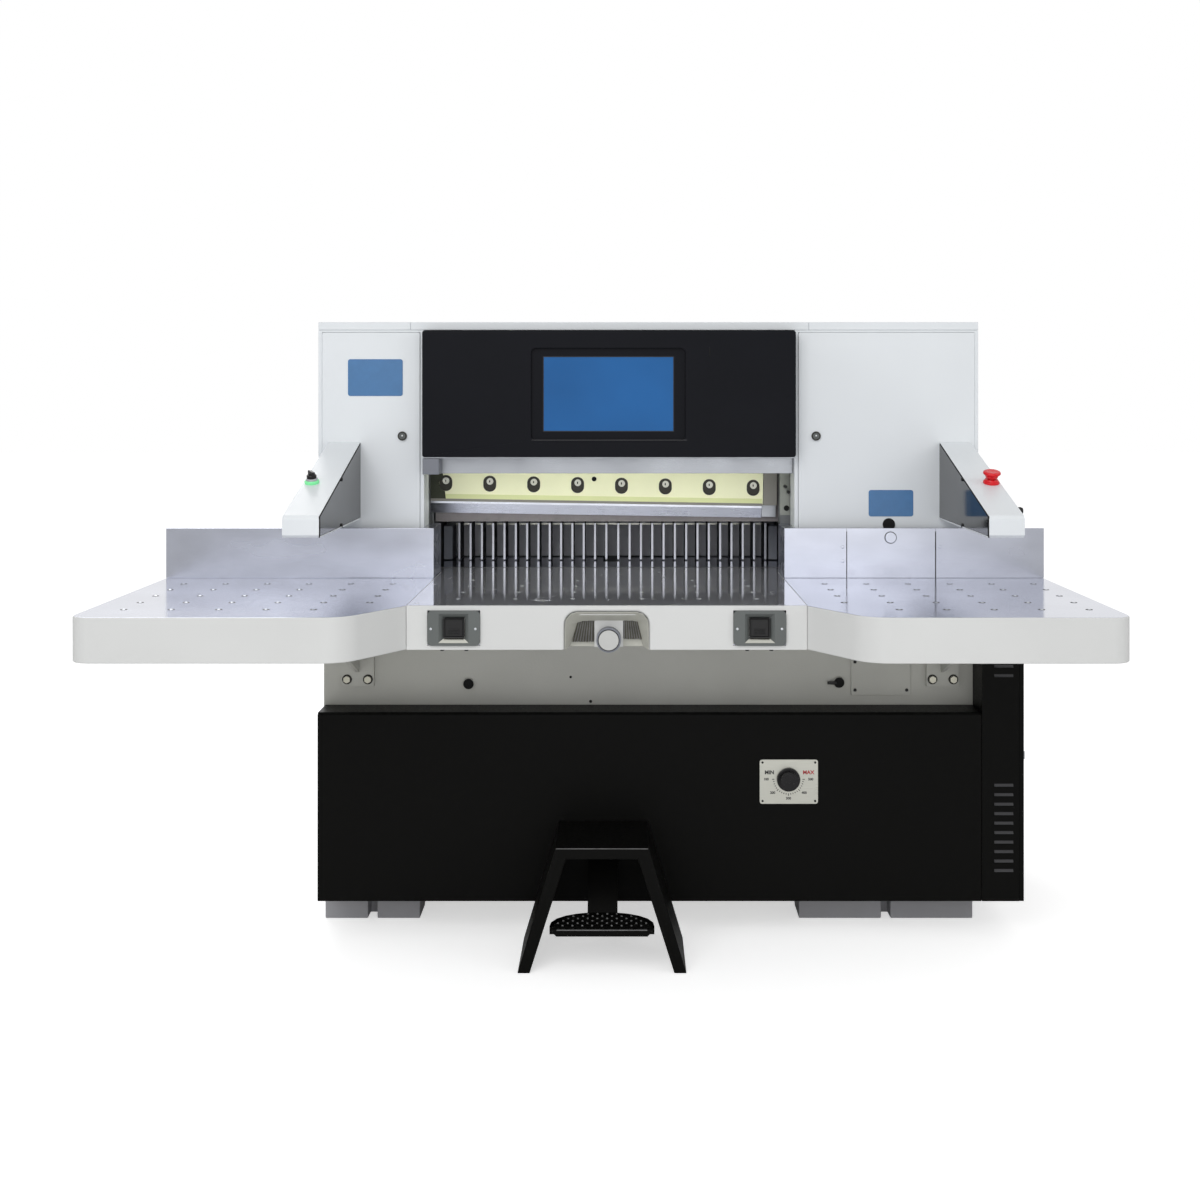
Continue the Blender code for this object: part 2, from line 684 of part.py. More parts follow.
def rectangle(x, z, corner=0.0, steps=CORNER_STEPS):
    """A rectangle outline between two places each way, with rounded corners if asked."""
    if not corner:
        return [(x[0], z[0]), (x[1], z[0]), (x[1], z[1]), (x[0], z[1])]
    left, right = x[0] + corner, x[1] - corner
    low, high = z[0] + corner, z[1] - corner
    return (
        arc(right, low, corner, -90, 0, steps)
        + arc(right, high, corner, 0, 90, steps)
        + arc(left, high, corner, 90, 180, steps)
        + arc(left, low, corner, 180, 270, steps)
    )


def around(middle, width):
    """The two places at half a width each side of a middle."""
    return (middle - width / 2, middle + width / 2)


def foot(name, x, notch_x):
    """A foot casting: a side profile with a pad at each end, notched at the front for a lifting bar."""
    rear = BED_REAR - FOOT_REAR_SET
    profile = [
        (FOOT_FRONT, 0),
        (FOOT_FRONT + FOOT_NOTCH_DEPTH, 0),
        (FOOT_FRONT + FOOT_NOTCH_DEPTH + FOOT_PAD_STEP, FOOT_PAD),
        (rear - FOOT_NOTCH_DEPTH - FOOT_PAD_STEP, FOOT_PAD),
        (rear - FOOT_NOTCH_DEPTH, 0),
        (rear, 0),
        (rear, FOOT_HEIGHT),
        (FOOT_FRONT, FOOT_HEIGHT),
    ]
    made = prism(name, [profile], "X", *x, "grey_enamel")
    notch = block(
        name + "_notch",
        around(notch_x, FOOT_NOTCH),
        (FOOT_FRONT - OVERRUN, FOOT_FRONT + FOOT_NOTCH_DEPTH / 2),
        (-OVERRUN, FOOT_NOTCH_HEIGHT),
    )
    return cut(made, notch)


def make_feet():
    left = (LEFT_FOOT_INNER - LEFT_FOOT_WIDTH, LEFT_FOOT_INNER)
    right = (RIGHT_FOOT_INNER, RIGHT_FOOT_INNER + RIGHT_FOOT_WIDTH)
    foot("left_foot", left, sum(left) / 2)
    foot("right_foot", right, sum(right) / 2)


def table_bracket(side, x):
    """The solids of a bracket under a side table: flange, gusset, arm and two bolt heads."""
    back = BED_FRONT + SHEET
    face = BED_FRONT - BRACKET_THICK
    top = TABLE_HEIGHT - SIDE_TABLE_DECK - GAP
    arm_back = BED_FRONT - GAP - SIDE_TABLE_WALL - SHEET
    reach = BED_FRONT - BRACKET_REACH
    low = APRON_LOW - GAP
    gusset = [
        (back, BRACKET_LOW + BRACKET_TIP),
        (back, low),
        (arm_back, low),
        (arm_back, top - BRACKET_THICK / 2),
        (reach, top - BRACKET_THICK / 2),
        (reach, low - BRACKET_TIP),
    ]
    wide = around(x, BRACKET_WIDTH)
    pieces = [
        prism(side + "_bracket_gusset", [gusset], "X", *around(x, BRACKET_THICK)),
        block(side + "_bracket_flange", wide, (face, back), (BRACKET_LOW, low)),
        block(side + "_bracket_arm", wide, (reach - SHEET, arm_back), (top - BRACKET_THICK, top)),
    ]
    for i, bolt_x in enumerate(around(x, BRACKET_BOLT_SET * 2)):
        at = (bolt_x, face + SHEET, BRACKET_LOW + BRACKET_BOLT_HEAD * 2.5)
        name = f"{side}_bracket_bolt_{i}"
        pieces.append(disc(name, BRACKET_BOLT_RADIUS, at, (0, -1, 0), BRACKET_BOLT_HEAD + SHEET, steps=6))
    return pieces


def make_bed():
    """The bed casting: a box with a deck slotted for the backgauge's channel, plugs and table brackets."""
    bed = block(
        "machine_bed", (BED_LEFT, BED_RIGHT), (BED_FRONT, BED_REAR), (BED_LOW, BED_TOP), "grey_enamel"
    )
    inside = block(
        "bed_inside",
        (BED_LEFT + BED_WALL, BED_RIGHT - BED_WALL),
        (BED_FRONT + BED_WALL, BED_REAR - BED_WALL),
        (BED_LOW + BED_WALL, BED_TOP - DECK_THICK),
    )
    slot = block(
        "bed_slot",
        (-BED_SLOT_HALF, BED_SLOT_HALF),
        (BED_SLOT_FRONT, BED_REAR + OVERRUN),
        (TABLE_UNDER - CHANNEL_HEIGHT, BED_TOP + OVERRUN),
    )
    cut(bed, inside, slot)
    for side, (px, pz) in PLUG_PLACES.items():
        profile = [
            (0, -PLUG_DEPTH),
            (PLUG_RADIUS, -PLUG_DEPTH),
            (PLUG_RADIUS, PLUG_DEPTH * 0.7),
            (PLUG_RADIUS * 0.8, PLUG_DEPTH),
            (0, PLUG_DEPTH),
        ]
        fuse(
            bed, turned(side + "_bed_plug", profile, (px, BED_FRONT, pz), (0, -1, 0), steps=SMALL_STEPS * 2)
        )
    for side, x in (("left", LEFT_BRACKET_X), ("right", RIGHT_BRACKET_X)):
        fuse(bed, *table_bracket(side, x))


def make_service_panel():
    """The small cover plate on the bed's front."""
    front = BED_FRONT - GAP
    x = (SERVICE_LEFT, SERVICE_LEFT + SERVICE_WIDTH)
    z = (SERVICE_LOW, SERVICE_LOW + SERVICE_HEIGHT)
    outline = rectangle(x, z, PLUG_DEPTH / 2)
    prism("service_panel", [outline], "Y", front - SERVICE_THICK, front, "grey_enamel")


def make_base_cover():
    """The black sheet cover over the bed's lower front, open at the back, its top sloping to the bed."""
    back = BED_FRONT - GAP
    low = FOOT_HEIGHT + BASE_LIFT
    outer = [(BASE_FRONT, low), (back, low), (back, BASE_TOP), (BASE_FRONT + BASE_FLAT, BASE_TOP)]
    outer += [(BASE_FRONT, BASE_TOP - BASE_FLAT)]
    inner = [
        (BASE_FRONT + SHEET, low + SHEET), (back + OVERRUN, low + SHEET), (back + OVERRUN, BASE_TOP - SHEET)
    ]
    inner += [(BASE_FRONT + BASE_FLAT + SHEET / 2, BASE_TOP - SHEET)]
    inner += [(BASE_FRONT + SHEET, BASE_TOP - BASE_FLAT - SHEET / 2)]
    cover = prism("base_front_cover", [outer], "X", BASE_LEFT, BASE_RIGHT, "black_enamel")
    hollow = prism("base_cover_hollow", [inner], "X", BASE_LEFT + SHEET, BASE_RIGHT - SHEET)
    shaft = disc(
        "dial_shaft_hole",
        DIAL_SHAFT + GAP,
        (DIAL_X, BASE_FRONT - OVERRUN, DIAL_Z),
        (0, 1, 0),
        OVERRUN * 2,
        steps=SMALL_STEPS,
    )
    cut(cover, hollow, shaft)


def make_cabinet():
    """The electric cabinet: a sheet box open on its outer side, with pressed louvres on its front."""
    x = (BED_RIGHT + GAP, BED_RIGHT + GAP + CABINET_WIDTH - DOOR_THICK - GAP)
    low = FOOT_HEIGHT + BASE_LIFT
    y = (BASE_FRONT, CABINET_REAR)
    box = block("electric_cabinet", x, y, (low, CABINET_TOP), "black_enamel")
    inside = block(
        "cabinet_inside",
        (x[0] + SHEET, x[1] + OVERRUN),
        (y[0] + SHEET, y[1] - SHEET),
        (low + SHEET, CABINET_TOP - SHEET),
    )
    cut(box, inside)
    louvres = []
    for i in range(LOUVRE_COUNT):
        louvres.append(LOUVRE_LOW + i * LOUVRE_PITCH)
    for i in range(UPPER_LOUVRES):
        louvres.append(UPPER_LOUVRE_LOW + i * LOUVRE_PITCH)
    bm = bmesh.new()
    for z in louvres:
        wedge = [
            (BASE_FRONT + SHEET / 2, z),
            (BASE_FRONT - LOUVRE_PROUD, z),
            (BASE_FRONT + SHEET / 2, z + LOUVRE_HEIGHT),
        ]
        add_prism(bm, wedge, "X", x[0] + LOUVRE_INSET, x[1] - LOUVRE_INSET / 2)
    fuse(box, finished("cabinet_louvres", bm, None))

    door_x = (x[1] + GAP, x[1] + GAP + DOOR_THICK)
    latch = (door_x[0], BASE_FRONT + LATCH_INSET, (low + CABINET_TOP) / 2)
    hinge_x = door_x[1] + HINGE_RADIUS + GAP
    hinge_y = y[1]
    door = block("cabinet_door", door_x, (y[0], y[1]), (low, CABINET_TOP), "black_enamel", SHEET / 2)
    shaft = disc(
        "latch_hole",
        LATCH_SHAFT + GAP,
        (latch[0] - OVERRUN, *latch[1:]),
        (1, 0, 0),
        OVERRUN * 4,
        steps=SMALL_STEPS,
    )
    cut(door, shaft)
    pivot(door, (hinge_x, hinge_y, latch[2]))
    for i, z in enumerate((low + LATCH_INSET * 2, CABINET_TOP - LATCH_INSET * 2 - HINGE_LENGTH)):
        hinge_at = (hinge_x, hinge_y, z)
        knuckle = disc(
            f"door_knuckle_{i}",
            HINGE_RADIUS,
            hinge_at,
            (0, 0, 1),
            HINGE_LENGTH / 2 - GAP,
            steps=SMALL_STEPS,
        )
        pin = disc(f"door_pin_{i}", HINGE_PIN_RADIUS, hinge_at, (0, 0, 1), HINGE_LENGTH, steps=SMALL_STEPS)
        lug = block(
            f"door_lug_{i}",
            (door_x[1] - SHEET, hinge_x),
            (hinge_y - SHEET, hinge_y + SHEET),
            (z + SHEET, z + HINGE_LENGTH / 2 - SHEET),
        )
        fuse(door, knuckle, pin, lug)
        top_at = (hinge_x, hinge_y, z + HINGE_LENGTH / 2)
        top = disc(f"hinge_top_{i}", HINGE_RADIUS, top_at, (0, 0, 1), HINGE_LENGTH / 2, steps=SMALL_STEPS)
        bore = disc(
            f"hinge_bore_{i}",
            HINGE_PIN_RADIUS + GAP,
            hinge_at,
            (0, 0, 1),
            HINGE_LENGTH + OVERRUN,
            steps=SMALL_STEPS,
        )
        leaf = block(
            f"hinge_leaf_{i}",
            (x[1] - LATCH_INSET, hinge_x),
            (y[1] - SHEET / 2, y[1] + GAP + SHEET),
            (z + HINGE_LENGTH / 2, z + HINGE_LENGTH),
        )
        room = block(
            f"hinge_room_{i}",
            (x[1] + GAP, hinge_x + GAP),
            (y[1] - OVERRUN, y[1] + GAP),
            (z + HINGE_LENGTH / 2 - OVERRUN, z + HINGE_LENGTH + OVERRUN),
        )
        cut(leaf, room)
        fuse(box, leaf, top)
        cut(box, bore)

    wing_x = door_x[1] - door_x[0]
    knob = disc(
        "cabinet_latch",
        LATCH_RADIUS,
        (door_x[1] + GAP, *latch[1:]),
        (1, 0, 0),
        LATCH_THICK,
        "brushed_steel",
    )
    stem = disc(
        "latch_stem",
        LATCH_SHAFT,
        (latch[0] - LATCH_THICK, *latch[1:]),
        (1, 0, 0),
        wing_x + LATCH_THICK * 1.5,
        steps=SMALL_STEPS,
    )
    grip = block(
        "latch_grip",
        (door_x[1] + GAP + LATCH_THICK / 2, door_x[1] + GAP + LATCH_THICK * 2),
        around(latch[1], LATCH_SHAFT),
        around(latch[2], LATCH_WING * 1.2),
    )
    cam = block(
        "latch_cam",
        (latch[0] - LATCH_THICK * 0.9, latch[0] - LATCH_THICK * 0.4),
        around(latch[1], LATCH_SHAFT * 1.8),
        (latch[2] - LATCH_WING, latch[2] + LATCH_SHAFT * 1.3),
    )
    fuse(knob, stem, grip, cam)
    pivot(knob, latch)

    block(
        "drive_unit",
        (x[0] + SHEET + GAP, x[0] + SHEET + GAP + DRIVE_UNIT_WIDTH),
        around(sum(y) / 2, DRIVE_UNIT_DEPTH),
        (low + DRIVE_UNIT_RISE, low + DRIVE_UNIT_RISE + DRIVE_UNIT_HEIGHT),
        "brushed_steel",
        SHEET,
    )


def make_hydraulics():
    """The oil tank on the bed's floor with the pump motor that drives knife and clamp."""
    floor = BED_LOW + BED_WALL + GAP
    x = (TANK_LEFT, TANK_LEFT + TANK_WIDTH)
    y = (TANK_FRONT, TANK_FRONT + TANK_DEPTH)
    tank = block("hydraulic_unit", x, y, (floor, floor + TANK_HEIGHT), "pump_blue", PLUG_DEPTH)
    hollow = block(
        "tank_inside",
        (x[0] + TANK_WALL, x[1] - TANK_WALL),
        (y[0] + TANK_WALL, y[1] - TANK_WALL),
        (floor - OVERRUN, floor + TANK_HEIGHT - TANK_WALL),
    )
    top = floor + TANK_HEIGHT - TANK_WALL / 2
    profile = [
        (0, 0),
        (PUMP_RADIUS + PUMP_FLANGE, 0),
        (PUMP_RADIUS + PUMP_FLANGE, PUMP_FLANGE),
        (PUMP_RADIUS, PUMP_FLANGE),
        (PUMP_RADIUS, PUMP_LENGTH - PUMP_FLANGE),
        (PUMP_RADIUS - PUMP_FLANGE, PUMP_LENGTH),
        (0, PUMP_LENGTH),
    ]
    fuse(tank, turned("pump_motor", profile, (x[0] + TANK_WIDTH / 3, sum(y) / 2, top), (0, 0, 1)))
    cut(tank, hollow)


def make_uprights():
    """The two cast uprights on the bed, joined by a cross beam that carries the clamp cylinders."""
    y = (UPRIGHT_FRONT, UPRIGHT_REAR)
    inner = THROAT_HALF + GAP
    for side, x in (("left", (-inner - UPRIGHT_WIDTH, -inner)), ("right", (inner, inner + UPRIGHT_WIDTH))):
        upright = block(side + "_upright", x, y, (TABLE_UNDER, UPRIGHT_TOP), "cast_iron", SHEET)
        pocket = block(
            side + "_upright_pocket",
            (x[0] + UPRIGHT_WALL, x[1] - UPRIGHT_WALL),
            (y[0] + UPRIGHT_WALL, y[1] + OVERRUN),
            (TABLE_UNDER + UPRIGHT_WALL, UPRIGHT_TOP - UPRIGHT_WALL),
        )
        fuse(upright, gib(side))
        cut(upright, pocket)
    beam = block(
        "cross_beam",
        (-THROAT_HALF, THROAT_HALF),
        (BEAM_FRONT, UPRIGHT_REAR),
        (BEAM_LOW, BEAM_HIGH),
        "cast_iron",
    )
    pocket = block(
        "cross_beam_pocket",
        (BEAM_WALL - THROAT_HALF, THROAT_HALF - BEAM_WALL),
        (BEAM_POCKET_FRONT, UPRIGHT_REAR + OVERRUN),
        (BEAM_LOW + BEAM_WALL, BEAM_HIGH - BEAM_WALL),
    )
    cut(beam, pocket)
    up = (0, 0, 1)
    cap = [
        (0, -SHEET),
        (CLAMP_FLANGE_RADIUS, -SHEET),
        (CLAMP_FLANGE_RADIUS, CLAMP_FLANGE_THICK),
        (CLAMP_CYLINDER_RADIUS, CLAMP_FLANGE_THICK),
        (CLAMP_CYLINDER_RADIUS, CLAMP_CYLINDER_RISE),
        (0, CLAMP_CYLINDER_RISE),
    ]
    for i, x in enumerate((-CLAMP_ROD_X, CLAMP_ROD_X)):
        fuse(beam, turned(f"clamp_cylinder_{i}", cap, (x, CLAMP_ROD_Y, BEAM_HIGH), up))
        low = BEAM_LOW - OVERRUN
        high = BEAM_HIGH + CLAMP_CYLINDER_RISE - CYLINDER_CAP
        bore = CLAMP_ROD_RADIUS + GAP
        cut(
            beam,
            disc(f"clamp_bore_{i}", bore, (x, CLAMP_ROD_Y, low), up, high - low, steps=SMALL_STEPS * 2),
        )


def gib(side):
    """The gib on an upright's front: an angle bar that the knife beam slides behind."""
    face = KNIFE_FACE - GAP
    seat = UPRIGHT_FRONT + SHEET
    inner, outer, turn = GIB_X[side]
    plan = [
        (inner, GIB_FRONT),
        (inner, face),
        (outer + turn * GIB_RETURN, face),
        (outer + turn * GIB_RETURN, seat),
        (outer, seat),
        (outer, GIB_FRONT),
    ]
    return prism(side + "_gib", [plan], "Z", GIB_LOW, GIB_HIGH)


def knife_turned(piece):
    """Tilts a piece of the knife beam about its pivot, high on the left, as it stands between cuts."""
    pivot(piece, (PIVOT_X, KNIFE_FACE, PIVOT_Z))
    piece.rotation_euler = (0, KNIFE_TILT, 0)
    return piece


def bolt_places():
    """The X places of the knife's bolts."""
    return [BOLT_FIRST + i * BOLT_PITCH for i in range(BOLT_COUNT)]


def make_knife():
    """The knife beam with its slotted windows, and the knife bolted in the rebate at its back."""
    lip = KNIFE_FACE + KNIFE_BEAM_LIP
    top = KNIFE_BEAM_LOW + KNIFE_BEAM_HEIGHT
    knife_low = KNIFE_BEAM_LOW - KNIFE_EDGE_DROP
    knife_top = knife_low + KNIFE_HEIGHT
    bevel = KNIFE_EDGE_FLAT * 3
    section = [
        (KNIFE_FACE + bevel, KNIFE_BEAM_LOW),
        (lip, KNIFE_BEAM_LOW),
        (lip, knife_top + GAP),
        (KNIFE_FACE + KNIFE_BEAM_THICK, knife_top + GAP),
        (KNIFE_FACE + KNIFE_BEAM_THICK, top),
        (KNIFE_FACE, top),
        (KNIFE_FACE, KNIFE_BEAM_LOW + bevel),
    ]
    beam = prism("knife_beam", [section], "X", KNIFE_BEAM_LEFT, KNIFE_BEAM_RIGHT, "knife_beam_enamel")
    bolt_z = KNIFE_BEAM_LOW + BOLT_HEIGHT
    windows = [
        rectangle(
            around(x, BOLT_SLOT_WIDTH),
            around(bolt_z, BOLT_SLOT_HEIGHT),
            BOLT_SLOT_WIDTH * 0.48,
            SMALL_STEPS // 2,
        )
        for x in bolt_places()
    ]
    slots = prism("knife_beam_slots", windows, "Y", KNIFE_FACE - OVERRUN, lip + GAP)
    hole = disc(
        "knife_pivot_hole",
        PIVOT_RADIUS + GAP,
        (PIVOT_X, KNIFE_FACE - OVERRUN, PIVOT_Z),
        (0, 1, 0),
        KNIFE_BEAM_THICK + OVERRUN * 2,
        steps=SMALL_STEPS * 2,
    )
    cut(beam, knife_turned(slots), hole)
    knife_turned(beam)

    front, back = lip + GAP, KNIFE_REAR
    blade = [
        (back - KNIFE_EDGE_FLAT, knife_low),
        (back, knife_low),
        (back, knife_top),
        (front, knife_top),
        (front, knife_low + KNIFE_BEVEL_HEIGHT),
    ]
    knife = prism("knife", [blade], "X", KNIFE_LEFT, KNIFE_RIGHT, "knife_steel")
    for i, x in enumerate(bolt_places()):
        bolt = disc(
            f"knife_bolt_{i}",
            BOLT_RADIUS,
            (x, front + SHEET, bolt_z),
            (0, -1, 0),
            BOLT_HEAD + SHEET,
            steps=SMALL_STEPS,
        )
        fuse(knife, knife_turned(bolt))
    knife_turned(knife)


def stroke_direction():
    """The direction of the knife's stroke: down, and to the right."""
    drop = knife_drop()
    return Vector((KNIFE_SIDE_TRAVEL, 0, -drop)).normalized()


def knife_drop():
    """How far the knife's pivot comes down, so that the levelled edge meets the stick."""
    edge = KNIFE_BEAM_LOW - KNIFE_EDGE_DROP
    return edge - TABLE_HEIGHT - GAP


def make_knife_drive():
    """The cylinder on the cross beam, and its rod, whose eye carries the knife beam's pivot pin."""
    up = -stroke_direction()
    eye_at = Vector((PIVOT_X, ROD_Y, PIVOT_Z))
    eye_front = ROD_Y - EYE_FRONT_SET
    rod = disc("knife_piston_rod", ROD_RADIUS, eye_at, up, ROD_LENGTH, "polished_steel", SMALL_STEPS * 2)
    eye = disc(
        "rod_eye",
        EYE_RADIUS,
        (PIVOT_X, eye_front, PIVOT_Z),
        (0, 1, 0),
        KNIFE_FACE - GAP * 2 - eye_front,
        steps=SMALL_STEPS * 2,
    )
    pin = disc(
        "rod_pin",
        PIVOT_RADIUS,
        (PIVOT_X, ROD_Y, PIVOT_Z),
        (0, 1, 0),
        KNIFE_FACE + KNIFE_BEAM_THICK - SHEET - ROD_Y,
        steps=SMALL_STEPS * 2,
    )
    fuse(rod, eye, pin)

    low = eye_at + up * CYLINDER_START
    cylinder = disc("knife_cylinder", CYLINDER_RADIUS, low, up, CYLINDER_LENGTH, "cast_iron")
    bore = disc(
        "knife_cylinder_bore",
        ROD_RADIUS + GAP,
        low - up * OVERRUN,
        up,
        CYLINDER_LENGTH + OVERRUN - CYLINDER_CAP,
        steps=SMALL_STEPS * 2,
    )
    middle = low + up * (CYLINDER_LUG_LOW + CYLINDER_LUG_HIGH - low.z * 2) / 2
    lug = block(
        "knife_cylinder_lug",
        around(middle.x, CYLINDER_LUG_WIDTH),
        (ROD_Y + ROD_RADIUS * 1.5, BEAM_FRONT - GAP),
        (CYLINDER_LUG_LOW, CYLINDER_LUG_HIGH),
    )
    fuse(cylinder, lug)
    cut(cylinder, bore)


def comb_places():
    """The X places of the comb's teeth, in two halves with a wider gap between them."""
    right = [COMB_CENTRE_GAP / 2 + i * TOOTH_PITCH for i in range(TOOTH_COUNT)]
    return [COMB_CENTRE - x for x in reversed(right)] + [COMB_CENTRE + x for x in right]


def make_clamp():
    """The clamp beam on its two piston rods, slotted behind a thin front lip for the comb's teeth."""
    half = THROAT_HALF - CLAMP_SIDE_GAP
    y = (CLAMP_FRONT, CLAMP_FRONT + CLAMP_DEPTH)
    beam = block("clamp_beam", (-half, half), y, (CLAMP_LOW, CLAMP_TOP), "brushed_steel")
    bm = bmesh.new()
    wide = TOOTH_THICK + CLAMP_SLOT_SIDE * 2
    for x in comb_places():
        slot = rectangle(around(x, wide), (CLAMP_LOW - OVERRUN, CLAMP_LOW + CLAMP_SLOT_HEIGHT))
        add_prism(bm, slot, "Y", y[0] + CLAMP_LIP, y[1] + OVERRUN)
    cut(beam, finished("clamp_slots", bm, None))
    for i, x in enumerate((-CLAMP_ROD_X, CLAMP_ROD_X)):
        at = (x, CLAMP_ROD_Y, CLAMP_TOP - SHEET)
        fuse(
            beam,
            disc(
                f"clamp_rod_{i}", CLAMP_ROD_RADIUS, at, (0, 0, 1), CLAMP_ROD_LENGTH, steps=SMALL_STEPS * 2
            ),
        )


def make_backgauge():
    """The comb with its teeth, and the carriage behind it with the arm and nut on the lead screw."""
    teeth = []
    for x in comb_places():
        left, right = around(x, TOOTH_THICK)
        teeth += [
            (left, COMB_BACK_FRONT), (left, COMB_FRONT), (right, COMB_FRONT), (right, COMB_BACK_FRONT)
        ]
    half = THROAT_HALF - COMB_SIDE_GAP
    plan = [
        (-half, COMB_REAR), (-half, COMB_BACK_FRONT), *teeth, (half, COMB_BACK_FRONT), (half, COMB_REAR)
    ]
    high = COMB_LOW + COMB_HEIGHT
    prism("backgauge_comb", [plan], "Z", COMB_LOW, high, "brushed_steel")

    front = COMB_REAR + GAP
    side = [
        (front, COMB_LOW),
        (front + CARRIAGE_LENGTH, COMB_LOW),
        (front + CARRIAGE_LENGTH, COMB_LOW + CARRIAGE_HEIGHT / 2),
        (front + CARRIAGE_LENGTH / 2, COMB_LOW + CARRIAGE_HEIGHT),
        (front, COMB_LOW + CARRIAGE_HEIGHT),
    ]
    carriage = prism("backgauge_carriage", [side], "X", -CARRIAGE_HALF, CARRIAGE_HALF, "cast_iron")
    nut_y = around(front + ARM_LENGTH / 2, NUT_LENGTH)
    nut_top = TABLE_UNDER - COMB_LIFT
    arm = block(
        "nut_arm",
        (-ARM_HALF, ARM_HALF),
        (front, front + ARM_LENGTH),
        (SCREW_Z, COMB_LOW + CARRIAGE_HEIGHT / 3),
    )
    nut = block("screw_nut", (-NUT_HALF, NUT_HALF), nut_y, (SCREW_Z - NUT_HALF, nut_top))
    bore = disc(
        "nut_bore",
        SCREW_RADIUS + GAP,
        (0, nut_y[0] - OVERRUN, SCREW_Z),
        (0, 1, 0),
        NUT_LENGTH + OVERRUN * 2,
        steps=SMALL_STEPS * 2,
    )
    fuse(carriage, arm, nut)
    cut(carriage, bore)


def make_screw_drive():
    """The lead screw in its channel under the rear table, and the motor that turns it."""
    back = (0, 1, 0)
    flange = SCREW_RADIUS * 1.5
    length = CHANNEL_END + SCREW_END - SCREW_FRONT
    profile = [
        (0, 0),
        (flange, 0),
        (flange, COUPLING_LENGTH),
        (SCREW_RADIUS, COUPLING_LENGTH),
        (SCREW_RADIUS, length),
        (0, length),
    ]
    turned("lead_screw", profile, (0, SCREW_FRONT, SCREW_Z), back, "polished_steel")

    low, high = TABLE_UNDER - CHANNEL_HEIGHT + GAP, BED_TOP
    channel = block(
        "screw_channel",
        (-CHANNEL_HALF, CHANNEL_HALF),
        (CHANNEL_FRONT, CHANNEL_END),
        (low, high),
        "cast_iron",
    )
    inner = (CHANNEL_WALL - CHANNEL_HALF, CHANNEL_HALF - CHANNEL_WALL)
    web_front = SCREW_FRONT + COUPLING_LENGTH + CHANNEL_WALL / 2
    rooms = []
    for y in (
        (CHANNEL_FRONT + CHANNEL_WALL, web_front),
        (web_front + CHANNEL_WALL * 2, CHANNEL_END - CHANNEL_WALL),
    ):
        rooms.append(block(f"channel_room_{len(rooms)}", inner, y, (low + CHANNEL_WALL, high + OVERRUN)))
    bore = disc(
        "channel_bore",
        SCREW_RADIUS + GAP,
        (0, SCREW_FRONT, SCREW_Z),
        back,
        length + OVERRUN,
        steps=ROUND_STEPS,
    )
    cut(channel, *rooms, bore)
    motor_y = (CHANNEL_FRONT + CHANNEL_WALL + GAP, SCREW_FRONT - GAP)
    block(
        "gauge_motor",
        (-MOTOR_HALF, MOTOR_HALF),
        motor_y,
        (low + CHANNEL_WALL + GAP, high - COMB_LIFT),
        "black_enamel",
        PLUG_DEPTH,
    )


